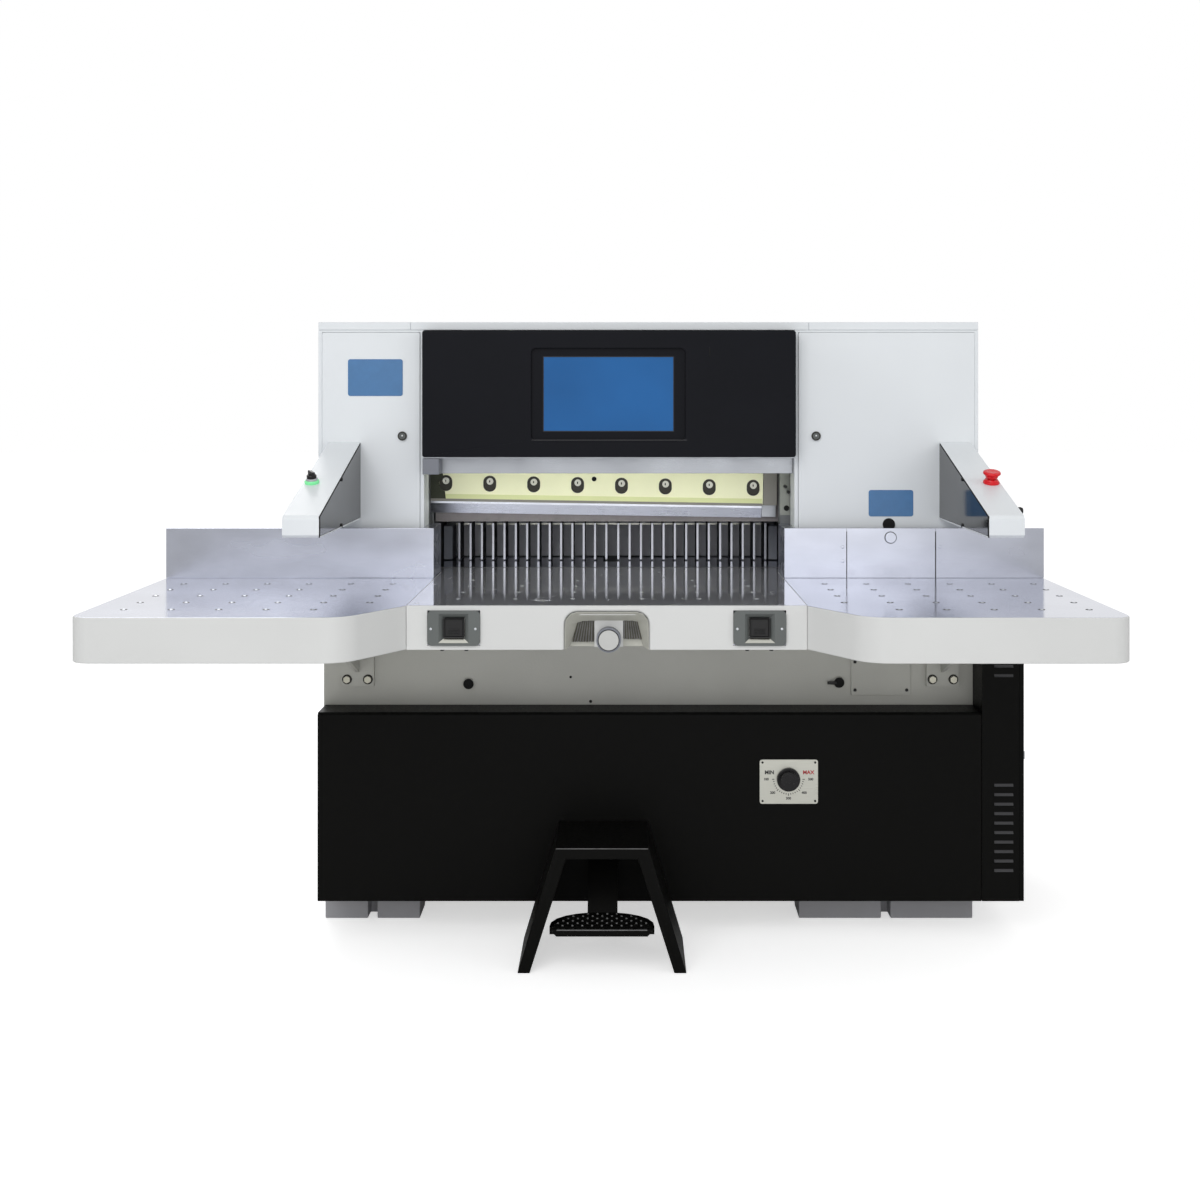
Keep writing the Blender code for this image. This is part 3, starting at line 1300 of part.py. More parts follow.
def make_main_table():
    """The table in front of the knife, hollow below ahead of the bed, and its apron with the arch."""
    front = TABLE_FRONT + APRON_THICK + GAP
    half = MAIN_TABLE_HALF
    side = [
        (front, APRON_LOW),
        (BED_FRONT - GAP, APRON_LOW),
        (BED_FRONT - GAP, TABLE_UNDER),
        (TABLE_REAR, TABLE_UNDER),
        (TABLE_REAR, TABLE_HEIGHT),
        (front, TABLE_HEIGHT),
    ]
    table = prism("main_table", [side], "X", -half, half, "polished_steel")
    hollow = block(
        "main_table_hollow",
        (MAIN_TABLE_WALL - half, half - MAIN_TABLE_WALL),
        (front + MAIN_TABLE_WALL, BED_FRONT - GAP - MAIN_TABLE_WALL),
        (APRON_LOW - OVERRUN, TABLE_HEIGHT - MAIN_TABLE_DECK),
    )
    recess = block(
        "main_table_recess",
        around(0, ARCH_HALF * 2 + RECESS_WALL + GAP * 2),
        (front - OVERRUN, front + RECESS_DEPTH + GAP),
        (APRON_LOW - OVERRUN, APRON_LOW + ARCH_HEIGHT - RECESS_WALL),
    )
    deck = block(
        "throat_deck",
        (GAP - THROAT_HALF, THROAT_HALF - GAP),
        (BED_FRONT, TABLE_REAR),
        (TABLE_UNDER, TABLE_HEIGHT),
    )
    fuse(table, deck)
    buttons = []
    for x in (-BUTTON_X, BUTTON_X):
        wide = BUTTON_PLATE_WIDTH + GAP * 2
        high = BUTTON_PLATE_HEIGHT + GAP * 2
        buttons.append(rectangle(around(x, wide), around(APRON_LOW + BUTTON_RISE, high)))
    pockets = prism(
        "button_pockets", buttons, "Y", TABLE_FRONT - OVERRUN, front + MAIN_TABLE_WALL + OVERRUN
    )
    cut(table, hollow, recess, pockets)

    apron_half = half - GAP
    apron = block(
        "front_apron",
        (-apron_half, apron_half),
        (TABLE_FRONT, TABLE_FRONT + APRON_THICK),
        (APRON_LOW, TABLE_HEIGHT),
        "apron_enamel",
    )
    arch = [(-ARCH_HALF, APRON_LOW - OVERRUN), (ARCH_HALF, APRON_LOW - OVERRUN)]
    arch += arc(
        ARCH_HALF - ARCH_RADIUS, APRON_LOW + ARCH_HEIGHT - ARCH_RADIUS, ARCH_RADIUS, 0, 90, SMALL_STEPS // 2
    )
    arch += arc(
        ARCH_RADIUS - ARCH_HALF,
        APRON_LOW + ARCH_HEIGHT - ARCH_RADIUS,
        ARCH_RADIUS,
        90,
        180,
        SMALL_STEPS // 2,
    )
    opening = prism("arch_opening", [arch], "Y", TABLE_FRONT - OVERRUN, TABLE_FRONT + APRON_THICK + OVERRUN)
    cut(apron, opening, pockets)

    x = around(0, ARCH_HALF * 2 + RECESS_WALL)
    y = (front, front + RECESS_DEPTH)
    z = (APRON_LOW, APRON_LOW + ARCH_HEIGHT - RECESS_WALL - GAP)
    shell = block("handwheel_recess", x, y, z, "black_enamel")
    inside = block(
        "recess_inside",
        (x[0] + RECESS_WALL, x[1] - RECESS_WALL),
        (y[0] - OVERRUN, y[1] - RECESS_WALL),
        (z[0] - OVERRUN, z[1] - RECESS_WALL),
    )
    hub = block(
        "handwheel_hub",
        around(HANDWHEEL_X, HUB_WIDTH),
        (y[1] - RECESS_WALL - HUB_DEPTH, y[1] - RECESS_WALL / 2),
        (z[0], z[1] - RECESS_WALL * 2),
    )
    wheel_z = APRON_LOW + HANDWHEEL_RISE
    shaft_end = y[1] - RECESS_WALL
    hole = disc(
        "handwheel_hole",
        HANDWHEEL_SHAFT + GAP,
        (HANDWHEEL_X, shaft_end + OVERRUN, wheel_z),
        (0, -1, 0),
        OVERRUN + HUB_DEPTH * 2,
        steps=SMALL_STEPS,
    )
    cut(shell, inside)
    fuse(shell, hub)
    cut(shell, hole)

    face = TABLE_FRONT + HANDWHEEL_SET
    length = shaft_end - face
    profile = [
        (0, 0),
        (HANDWHEEL_SHAFT, 0),
        (HANDWHEEL_SHAFT, length - HANDWHEEL_DEPTH),
        (HANDWHEEL_RADIUS, length - HANDWHEEL_DEPTH),
        (HANDWHEEL_RADIUS, length - HANDWHEEL_SET / 2),
        (HANDWHEEL_RADIUS - HANDWHEEL_SET / 2, length),
        (HANDWHEEL_FACE, length),
        (HANDWHEEL_FACE, length - HANDWHEEL_SET / 3),
        (0, length - HANDWHEEL_SET / 3),
    ]
    turned("handwheel", profile, (HANDWHEEL_X, shaft_end, wheel_z), (0, -1, 0), "brushed_steel")


def make_buttons():
    """The two cut buttons, each sliding in a plate with a sloped recess, let into the apron."""
    for side, x in (("left", -BUTTON_X), ("right", BUTTON_X)):
        z = APRON_LOW + BUTTON_RISE
        front = TABLE_FRONT - BUTTON_PLATE_PROUD
        wide, high = around(x, BUTTON_PLATE_WIDTH), around(z, BUTTON_PLATE_HEIGHT)
        outline = rectangle(wide, high, BUTTON_PLATE_CORNER)
        plate = prism(
            side + "_button_plate", [outline], "Y", front, front + BUTTON_PLATE_DEPTH, "button_plastic"
        )
        button_x, button_z = around(x, BUTTON_WIDTH), around(z, BUTTON_HEIGHT)
        room_x = (button_x[0] - BUTTON_SIDE_GAP, button_x[1] + BUTTON_SIDE_GAP)
        room_z = (button_z[0] - BUTTON_SIDE_GAP, button_z[1] + BUTTON_SIDE_GAP)
        floor = front + BUTTON_SET + BUTTON_DEPTH / 3
        bm = bmesh.new()
        rims = []
        for grow, y in ((BUTTON_SET * 2.5, front - OVERRUN / 10), (0, floor)):
            corners = rectangle((room_x[0] - grow, room_x[1] + grow), (room_z[0] - grow, room_z[1] + grow))
            rims.append([bm.verts.new((px, y, pz)) for px, pz in corners])
        for rim in rims:
            bm.faces.new(rim)
        for i in range(4):
            j = (i + 1) % 4
            bm.faces.new((rims[0][i], rims[0][j], rims[1][j], rims[1][i]))
        dish = finished(side + "_button_dish", bm, None)
        well = prism(
            side + "_button_well",
            [rectangle(room_x, room_z)],
            "Y",
            front,
            front + BUTTON_PLATE_DEPTH + OVERRUN,
        )
        cut(plate, dish, well)
        cap = block(
            side + "_cut_button",
            button_x,
            (front + BUTTON_SET, front + BUTTON_SET + BUTTON_DEPTH - BUTTON_TRAVEL),
            button_z,
            "black_plastic",
            BUTTON_CORNER / 2,
        )
        pivot(cap, (x, front + BUTTON_SET, z))


def side_table_plan(turn, reach, tower_side, inset=0.0):
    """The outline of a side table, turn being 1 for the right one, with its rounded corner and shoulder."""
    inner, outer = MAIN_TABLE_HALF + GAP + inset, abs(reach) - inset
    front, rear = SIDE_TABLE_FRONT + inset, FENCE_FRONT + FENCE_THICK - inset
    notch = abs(tower_side) + GAP - inset
    back = BED_FRONT - GAP - inset
    corner = max(SIDE_TABLE_CORNER - inset, inset)
    shoulder = MAIN_TABLE_HALF + SIDE_TABLE_SHOULDER
    points = [(inner, back), (notch, back), (notch, rear), (outer, rear)]
    points += [
        (outer - corner + corner * math.cos(a), front + corner - corner * math.sin(a)) for a in quarter()
    ]
    bend = (shoulder - inset * 0.4, front)
    end = (inner, TABLE_FRONT + inset)
    points += curve_between((bend[0] + SHOULDER_RADIUS * 0.55, front), bend, end, SHOULDER_RADIUS)
    return [(turn * x, y) for x, y in points]


def quarter():
    """Angles over a quarter turn."""
    return [math.pi / 2 * i / CORNER_STEPS for i in range(CORNER_STEPS + 1)]


def curve_between(start, bend, end, reach):
    """A smooth bend from start, past the corner at bend, on to a straight run to end."""
    direction = (Vector(end) - Vector(bend)).normalized()
    leave = Vector(bend) + direction * reach * 0.55
    points = []
    steps = SMALL_STEPS // 2
    for i in range(steps + 1):
        t = i / steps
        point = Vector(start) * (1 - t) ** 2 + Vector(bend) * 2 * t * (1 - t) + leave * t**2
        points.append(tuple(point))
    return points + [tuple(end)]


def make_side_tables():
    """The two side tables, each a casting with a thick deck and an apron wall, open below."""
    for side, turn, reach, tower in (
        ("left", -1, LEFT_REACH, TOWER_LEFT), ("right", 1, RIGHT_REACH, TOWER_RIGHT)
    ):
        outer = side_table_plan(turn, reach, tower)
        inner = side_table_plan(turn, reach, tower, SIDE_TABLE_WALL)
        table = prism(side + "_side_table", [outer], "Z", APRON_LOW, TABLE_HEIGHT, "polished_steel")
        cut(
            table,
            prism(
                side + "_table_hollow", [inner], "Z", APRON_LOW - OVERRUN, TABLE_HEIGHT - SIDE_TABLE_DECK
            ),
        )


def make_fences():
    """The side fences on the table: upright plates, the inner ones turning back into the throat."""
    low, high = TABLE_HEIGHT + GAP, TABLE_HEIGHT + FENCE_HEIGHT
    back = FENCE_FRONT + FENCE_THICK
    seams = FENCE_SEAMS
    fences = []
    for side, turn, reach in (("left", -1, LEFT_REACH), ("right", 1, RIGHT_REACH)):
        outer = seams[0] if turn > 0 else abs(reach)
        plan = [
            (FENCE_INNER, FENCE_FRONT),
            (outer, FENCE_FRONT),
            (outer, back),
            (THROAT_HALF - GAP, back),
            (THROAT_HALF - GAP, FENCE_RETURN_END),
            (FENCE_INNER, FENCE_RETURN_END),
        ]
        fences.append(
            prism(side + "_fence", [[(turn * x, y) for x, y in plan]], "Z", low, high, "polished_steel")
        )
    plate = block(
        "right_outer_fence",
        (seams[0] + GAP, RIGHT_REACH),
        (FENCE_FRONT, back),
        (low, high),
        "polished_steel",
    )
    seam = block(
        "fence_seam",
        around(seams[1], SEAM_WIDTH),
        (FENCE_FRONT - OVERRUN, FENCE_FRONT + SEAM_WIDTH),
        (low - OVERRUN, high + OVERRUN),
    )
    for i, (riveted, rivet_x) in enumerate(zip((fences[1], plate), RIVET_PLACES)):
        for j, drop in enumerate(RIVET_DROPS):
            at = (rivet_x, FENCE_FRONT + SHEET, high - drop)
            rivet = disc(
                f"rivet_{i}_{j}", RIVET_RADIUS, at, (0, -1, 0), SHEET + RIVET_PROUD, steps=SMALL_STEPS
            )
            fuse(riveted, rivet)
    cut(plate, seam)


def make_rear_table():
    """The cutting stick, the slotted rear table behind it, and the hood that guards the backgauge."""
    half = THROAT_HALF - GAP
    stick = (STICK_FRONT, STICK_FRONT + STICK_WIDTH)
    block(
        "cutting_stick", (-half, half), stick, (TABLE_HEIGHT - STICK_HEIGHT, TABLE_HEIGHT), "stick_plastic"
    )
    rear = REAR_END - SHEET - GAP
    under = TABLE_HEIGHT - STICK_HEIGHT - GAP
    side = [
        (TABLE_REAR + GAP, TABLE_UNDER),
        (rear, TABLE_UNDER),
        (rear, TABLE_HEIGHT),
        (REAR_TABLE_FRONT, TABLE_HEIGHT),
        (REAR_TABLE_FRONT, under),
        (TABLE_REAR + GAP, under),
    ]
    table = prism("rear_table", [side], "X", -half, half, "polished_steel")
    slot = block(
        "rear_table_slot",
        (-SLOT_HALF, SLOT_HALF),
        (SLOT_FRONT, SLOT_REAR),
        (TABLE_UNDER - OVERRUN, TABLE_HEIGHT + OVERRUN),
    )
    pockets = [
        block(
            f"rear_table_pocket_{i}",
            x,
            (REAR_POCKET_FRONT, rear - REAR_TABLE_WALL),
            (TABLE_UNDER - OVERRUN, TABLE_HEIGHT - REAR_TABLE_DECK),
        )
        for i, x in enumerate(
            ((REAR_TABLE_WALL - half, -REAR_POCKET_HALF), (REAR_POCKET_HALF, half - REAR_TABLE_WALL))
        )
    ]
    cut(table, slot, *pockets)
    outer = THROAT_HALF + SHEET
    y = (TOWER_DEPTH + GAP, REAR_END)
    hood = block("rear_hood", (-outer, outer), y, (TABLE_UNDER, HOOD_TOP), "white_enamel")
    inside = block(
        "rear_hood_inside",
        (-THROAT_HALF, THROAT_HALF),
        (y[0] - OVERRUN, REAR_END - SHEET),
        (TABLE_UNDER - OVERRUN, HOOD_TOP - SHEET),
    )
    cut(hood, inside)


def make_tower_covers():
    """Sheet covers round each column, open to the throat, with a window at the front for the panel."""
    columns = (("left", -1, TOWER_LEFT), ("right", 1, TOWER_RIGHT))
    for side, turn, outer in columns:
        x = sorted((turn * (THROAT_HALF + GAP), outer))
        y = (COVER_FRONT, TOWER_DEPTH)
        cover = block(side + "_tower_cover", x, y, (TABLE_UNDER, COVER_TOP), "white_enamel")
        wide = (x[0] - OVERRUN, x[1] + OVERRUN)
        notch = block(
            side + "_cover_notch", wide, (y[0] - OVERRUN, BED_FRONT), (TABLE_UNDER - OVERRUN, COVER_LOW)
        )
        inside = block(
            side + "_cover_inside",
            (x[0] + SHEET, x[1] - SHEET),
            (y[0] + SHEET, y[1] - SHEET),
            (TABLE_UNDER - OVERRUN * 2, COVER_TOP - SHEET),
        )
        passage = block(
            side + "_cover_passage",
            sorted((turn * (THROAT_HALF - OVERRUN), turn * (THROAT_HALF + OVERRUN))),
            (COVER_FRONT + COVER_RETURN, TOWER_DEPTH - COVER_REAR_RETURN),
            (TABLE_UNDER - OVERRUN * 3, COVER_TOP + OVERRUN),
        )
        panel_x = (x[0] + PANEL_FRAME, x[1] - PANEL_FRAME)
        panel_z = (PANEL_LOW, COVER_TOP - PANEL_TOP_SET)
        room_x = (panel_x[0] - PANEL_CLEAR, panel_x[1] + PANEL_CLEAR)
        room_z = (panel_z[0] - PANEL_CLEAR, panel_z[1] + PANEL_CLEAR)
        window = block(side + "_cover_window", room_x, (y[0] - OVERRUN, y[0] + OVERRUN), room_z)
        cut(cover, inside, passage, notch, window)

        panel = prism(
            side + "_front_panel", [rectangle(panel_x, panel_z, SHEET)], "Y", 0, PANEL_THICK, "white_enamel"
        )
        dish = block(
            side + "_panel_dish",
            (panel_x[0] + SHEET, panel_x[1] - SHEET),
            (SHEET, PANEL_THICK + OVERRUN),
            (panel_z[0] + SHEET, panel_z[1] - SHEET),
        )
        lock_at = (turn * LOCK_X, 0, LOCK_Z)
        hole = disc(
            side + "_lock_hole",
            LOCK_SHAFT + GAP,
            (lock_at[0], -OVERRUN, LOCK_Z),
            (0, 1, 0),
            OVERRUN * 2,
            steps=SMALL_STEPS,
        )
        cut(panel, dish, hole)
        lock = disc(
            side + "_panel_lock",
            LOCK_RADIUS,
            (lock_at[0], -GAP, LOCK_Z),
            (0, -1, 0),
            LOCK_PROUD,
            "brushed_steel",
        )
        stem = disc(
            side + "_lock_stem",
            LOCK_SHAFT,
            (lock_at[0], -LOCK_PROUD / 2, LOCK_Z),
            (0, 1, 0),
            SHEET + LOCK_CAM_THICK * 2,
            steps=SMALL_STEPS,
        )
        slot = block(
            side + "_lock_slot",
            around(lock_at[0], LOCK_BAR),
            (-LOCK_PROUD - OVERRUN, -LOCK_PROUD * 0.6),
            around(LOCK_Z, LOCK_RADIUS * 1.5),
        )
        cam = block(
            side + "_lock_cam",
            around(lock_at[0], LOCK_SHAFT * 1.8),
            (SHEET + GAP, SHEET + GAP + LOCK_CAM_THICK),
            (LOCK_Z - LOCK_CAM, LOCK_Z + LOCK_SHAFT * 1.3),
        )
        fuse(lock, stem, cam)
        cut(lock, slot)
        pivot(lock, lock_at)


def make_caps():
    """The cap cover along the tower's top, with its two seams, and the sheet cover behind the head."""
    low, high = COVER_TOP + GAP, TOWER_HEIGHT
    y = (COVER_FRONT, TOWER_DEPTH)
    edge = SHEET / 2
    cap = block("top_cap", (TOWER_LEFT, TOWER_RIGHT), y, (low, high), "white_enamel", edge)
    for i, x in enumerate((LEFT_SEAM, RIGHT_SEAM)):
        wide = around(x, SEAM_WIDTH)
        top = block(
            f"cap_top_seam_{i}", wide, (y[0] - OVERRUN, y[1] + OVERRUN), (high - SHEET, high + OVERRUN)
        )
        front = block(
            f"cap_front_seam_{i}", wide, (y[0] - OVERRUN, y[0] + SHEET), (low - OVERRUN, high - SHEET / 2)
        )
        cut(cap, top, front)
    rear = (TOWER_DEPTH - REAR_COVER_THICK, TOWER_DEPTH)
    z = (HOOD_TOP + GAP, COVER_TOP)
    cover = block("head_rear_cover", (-THROAT_HALF, THROAT_HALF), rear, z, "white_enamel")
    dish = block(
        "head_rear_dish",
        (SHEET - THROAT_HALF, THROAT_HALF - SHEET),
        (rear[0] - OVERRUN, rear[1] - SHEET),
        (z[0] + SHEET, z[1] - SHEET),
    )
    cut(cover, dish)


def make_head():
    """The head panel: a moulded box with a stepped recess for the screen, and the steel strip below it."""
    half = HEAD_HALF
    x, z = (-half, half), (HEAD_LOW, HEAD_HIGH)
    panel = prism("head_panel", [rectangle(x, z, HEAD_CORNER)], "Y", HEAD_FRONT, HEAD_REAR, "head_plastic")
    inside = block(
        "head_inside",
        (HEAD_WALL - half, half - HEAD_WALL),
        (HEAD_FRONT + BEZEL_DEPTH + SCREEN_DEPTH + HEAD_WALL, HEAD_REAR + OVERRUN),
        (HEAD_LOW + HEAD_WALL, HEAD_HIGH - HEAD_WALL),
    )
    bezel_x, bezel_z = (BEZEL_LEFT, BEZEL_RIGHT), (BEZEL_LOW, BEZEL_HIGH)
    bezel = prism(
        "bezel_recess",
        [rectangle(bezel_x, bezel_z, BEZEL_CORNER)],
        "Y",
        HEAD_FRONT - OVERRUN,
        HEAD_FRONT + BEZEL_DEPTH,
    )
    seat = block(
        "screen_seat",
        (SCREEN_LEFT - GAP, SCREEN_RIGHT + GAP),
        (HEAD_FRONT, HEAD_FRONT + BEZEL_DEPTH + SCREEN_DEPTH),
        (SCREEN_LOW - GAP, SCREEN_HIGH + GAP),
    )
    cut(panel, inside, bezel, seat)
    face = HEAD_FRONT + BEZEL_DEPTH
    block(
        "display_screen",
        (SCREEN_LEFT, SCREEN_RIGHT),
        (face + SCREEN_STEP / 2, face + SCREEN_DEPTH - GAP),
        (SCREEN_LOW, SCREEN_HIGH),
        "screen_blue",
    )
    strip = [
        (TRIM_FRONT, TRIM_LOW),
        (TRIM_FRONT + TRIM_THICK, TRIM_LOW),
        (TRIM_FRONT + TRIM_THICK, HEAD_LOW - GAP),
        (HEAD_FRONT + HEAD_CORNER, HEAD_LOW - GAP),
        (HEAD_FRONT + HEAD_CORNER, HEAD_LOW - GAP - SHEET),
        (TRIM_FRONT, HEAD_LOW - GAP - SHEET),
    ]
    prism("head_trim_strip", [strip], "X", -half, half, "brushed_steel")


def arm_slope():
    """The slope of a light barrier arm's top, as (rise per length, unit normal)."""
    rise = (ARM_TOP - ARM_NOSE_HIGH) / -ARM_FRONT_Y
    return rise, Vector((0, -rise, 1)).normalized()


def make_barrier_arms():
    """The two light barrier arms on the columns, each with a shallow seat inside for its window."""
    arms = (("left", LEFT_ARM_OUTER, LEFT_ARM_INNER), ("right", RIGHT_ARM_OUTER, RIGHT_ARM_INNER))
    rise, normal = arm_slope()
    for side, outer, inner in arms:
        rear = -GAP
        profile = [
            (rear, ARM_LOW),
            (rear, ARM_TOP),
            (ARM_FRONT_Y + ARM_EDGE, ARM_NOSE_HIGH + ARM_EDGE * rise),
            (ARM_FRONT_Y, ARM_NOSE_HIGH - ARM_EDGE),
            (ARM_FRONT_Y, ARM_LOW + ARM_EDGE),
            (ARM_FRONT_Y + ARM_EDGE, ARM_LOW),
        ]
        x = sorted((outer, inner))
        arm = prism(f"{side}_barrier_arm", [profile], "X", *x, "white_enamel")
        inward = 1 if side == "left" else -1
        margin = WINDOW_MARGIN
        pane = [
            (rear - margin / 2, ARM_LOW + margin),
            (rear - margin / 2, ARM_TOP - margin * 3),
            (ARM_FRONT_Y + margin, ARM_NOSE_HIGH - margin / 2),
            (ARM_FRONT_Y + margin, ARM_LOW + margin),
        ]
        span = sorted((inner - inward * WINDOW_DEPTH, inner + inward * OVERRUN))
        cut(arm, prism(f"{side}_window_seat", [pane], "X", *span))
        at_x = outer + inward * CONTROL_INSET
        at = Vector((at_x, CONTROL_Y, ARM_NOSE_HIGH + (CONTROL_Y - ARM_FRONT_Y) * rise))
        sink = disc(
            f"{side}_control_hole",
            CONTROL_BASE_RADIUS * 0.7,
            at - normal * OVERRUN * 3,
            normal,
            OVERRUN * 4,
            steps=SMALL_STEPS * 2,
        )
        if side == "left":
            cut(arm, sink)
        make_control(arm, at, normal)


def make_control(arm, at, normal):
    """The control on an arm's slope: the mode selector with its lit ring, or the emergency stop."""
    neck = CONTROL_BASE_RADIUS * 0.7 - GAP
    base_low = -OVERRUN * 2.5
    bore = STOP_STEM + GAP
    profile = [
        (bore, base_low),
        (neck, base_low),
        (neck, GAP),
        (CONTROL_BASE_RADIUS, GAP),
        (CONTROL_BASE_RADIUS, CONTROL_BASE_HEIGHT * 0.6),
        (CONTROL_BASE_RADIUS * 0.85, CONTROL_BASE_HEIGHT),
        (bore, CONTROL_BASE_HEIGHT),
    ]
    if arm.name == "left_barrier_arm":
        turned("selector_ring", profile, at, normal, "green_lens")
        top = CONTROL_BASE_HEIGHT + GAP
        body = [
            (0, base_low),
            (STOP_STEM, base_low),
            (STOP_STEM, top),
            (SELECTOR_RADIUS, top),
            (SELECTOR_RADIUS, top + SELECTOR_HEIGHT),
            (0, top + SELECTOR_HEIGHT),
        ]
        knob = turned("mode_selector", body, at, normal, "black_plastic")
        bar = block(
            "selector_bar",
            around(0, SELECTOR_BAR),
            around(0, SELECTOR_RADIUS * 1.9),
            (top + SELECTOR_HEIGHT / 2, top + SELECTOR_HEIGHT + SELECTOR_BAR_HEIGHT),
        )
        bar.rotation_euler = Vector((0, 0, 1)).rotation_difference(normal).to_euler()
        bar.location = at
        fuse(knob, bar)
        return
    collar = [(0, base_low), *profile[1:2], (neck, GAP), *profile[3:6], (0, CONTROL_BASE_HEIGHT)]
    floor = at + normal * (base_low - STOP_TRAVEL - GAP)
    stem_hole = disc("stop_hole", bore, floor, normal, OVERRUN * 4, steps=ROUND_STEPS)
    fuse(arm, turned("stop_collar", collar, at, normal))
    cut(arm, stem_hole)
    cap = CONTROL_BASE_HEIGHT + STOP_RISE
    body = [
        (0, base_low),
        (STOP_STEM, base_low),
        (STOP_STEM, cap),
        (STOP_RADIUS, cap),
        (STOP_RADIUS, cap + STOP_CAP * 0.45),
        (STOP_RADIUS * 0.85, cap + STOP_CAP * 0.8),
        (STOP_RADIUS * 0.5, cap + STOP_CAP),
        (0, cap + STOP_CAP),
    ]
    turned("emergency_stop", body, at, normal, "red_plastic")


def make_pedal():
    """The clamp pedal with its half moon pad, its bracket, and the bent sheet guard over it."""
    wall = BASE_FRONT - GAP
    low_half, top_half = GUARD_LOW_HALF, GUARD_TOP_HALF
    outer = [
        (GUARD_X - low_half, 0),
        (GUARD_X + low_half, 0),
        (GUARD_X + top_half, GUARD_TOP),
        (GUARD_X - top_half, GUARD_TOP),
    ]
    lean = GUARD_SHEET * 1.05
    sheet = GUARD_SHEET
    inner = [
        (GUARD_X - low_half + lean, -OVERRUN),
        (GUARD_X + low_half - lean, -OVERRUN),
        (GUARD_X + top_half - lean, GUARD_TOP - sheet),
        (GUARD_X - top_half + lean, GUARD_TOP - sheet),
    ]
    mouth_low, mouth_top = low_half - GUARD_FLANGE, top_half - GUARD_FLANGE
    mouth = [
        (GUARD_X - mouth_low, -OVERRUN),
        (GUARD_X + mouth_low, -OVERRUN),
        (GUARD_X + mouth_top, GUARD_TOP - GUARD_FLANGE),
        (GUARD_X - mouth_top, GUARD_TOP - GUARD_FLANGE),
    ]
    guard = prism("pedal_guard", [outer], "Y", GUARD_FRONT, wall, "black_enamel")
    hollow = prism("guard_hollow", [inner], "Y", GUARD_FRONT + sheet, wall + OVERRUN)
    front = prism("guard_mouth", [mouth], "Y", GUARD_FRONT - OVERRUN, GUARD_FRONT + OVERRUN)
    cut(guard, hollow, front)

    half = PEDAL_WIDTH / 2
    crown_y = PEDAL_FRONT + PEDAL_LENGTH
    pad_plan = [(GUARD_X - half, PEDAL_FRONT), (GUARD_X + half, PEDAL_FRONT)]
    for i in range(1, SMALL_STEPS):
        angle = math.pi * i / SMALL_STEPS
        depth = PEDAL_LENGTH * math.sin(angle) ** 0.7
        pad_plan.append((GUARD_X + half * math.cos(angle), PEDAL_FRONT + depth))
    pad_top = PEDAL_LOW + PEDAL_THICK
    pedal = prism("clamp_pedal", [pad_plan], "Z", PEDAL_LOW, pad_top, "black_enamel")
    bm = bmesh.new()
    y = PEDAL_FRONT + RIB_PITCH / 2
    while y + RIB_WIDTH < crown_y - RIB_PITCH:
        share = (y + RIB_WIDTH - PEDAL_FRONT) / PEDAL_LENGTH
        reach = half * math.sqrt(max(1 - share**2, 0)) - RIB_WIDTH
        rib = rectangle(around(GUARD_X, reach * 2), (y, y + RIB_WIDTH))
        add_prism(bm, rib, "Z", pad_top - RIB_HEIGHT, pad_top + RIB_HEIGHT)
        y += RIB_PITCH
    ribs = finished("pedal_ribs", bm, None)
    thick = PEDAL_ARM_THICK
    arm_side = [
        (crown_y - RIB_PITCH * 2, PEDAL_LOW),
        (crown_y, PEDAL_LOW),
        (PEDAL_PIVOT_Y + thick / 2, PEDAL_PIVOT_Z),
        (PEDAL_PIVOT_Y - thick / 2, PEDAL_PIVOT_Z),
        (crown_y - thick, PEDAL_LOW + thick),
        (crown_y - RIB_PITCH * 2, PEDAL_LOW + thick),
    ]
    arm = prism("pedal_arm", [arm_side], "X", *around(GUARD_X, PEDAL_ARM_WIDTH))
    boss_half = PEDAL_ARM_WIDTH / 2
    boss = disc(
        "pedal_boss",
        PEDAL_BOSS,
        (GUARD_X - boss_half, PEDAL_PIVOT_Y, PEDAL_PIVOT_Z),
        (1, 0, 0),
        PEDAL_ARM_WIDTH,
        steps=SMALL_STEPS * 2,
    )
    ear_low, ear_high = boss_half + GAP, boss_half + GAP + PEDAL_EAR
    reach = ear_high + PEDAL_EAR
    shaft_hole = disc(
        "pedal_bore",
        PEDAL_SHAFT + GAP,
        (GUARD_X - reach, PEDAL_PIVOT_Y, PEDAL_PIVOT_Z),
        (1, 0, 0),
        reach * 2,
        steps=SMALL_STEPS * 2,
    )
    fuse(pedal, ribs, arm, boss)
    cut(pedal, shaft_hole)
    pivot(pedal, (GUARD_X, PEDAL_PIVOT_Y, PEDAL_PIVOT_Z))

    bracket = block(
        "pedal_bracket",
        around(GUARD_X, ear_high * 2),
        (wall - SHEET, wall),
        around(PEDAL_PIVOT_Z, PEDAL_EAR_HALF_HEIGHT * 2),
        "black_enamel",
    )
    for i, (start, end) in enumerate(((ear_low, ear_high), (-ear_high, -ear_low))):
        ear = block(
            f"pedal_ear_{i}",
            (GUARD_X + start, GUARD_X + end),
            (PEDAL_PIVOT_Y - PEDAL_BOSS, wall),
            around(PEDAL_PIVOT_Z, PEDAL_BOSS * 2),
        )
        fuse(bracket, ear)
    pin = disc(
        "pedal_shaft",
        PEDAL_SHAFT,
        (GUARD_X - reach, PEDAL_PIVOT_Y, PEDAL_PIVOT_Z),
        (1, 0, 0),
        reach * 2,
        steps=SMALL_STEPS * 2,
    )
    fuse(bracket, pin)


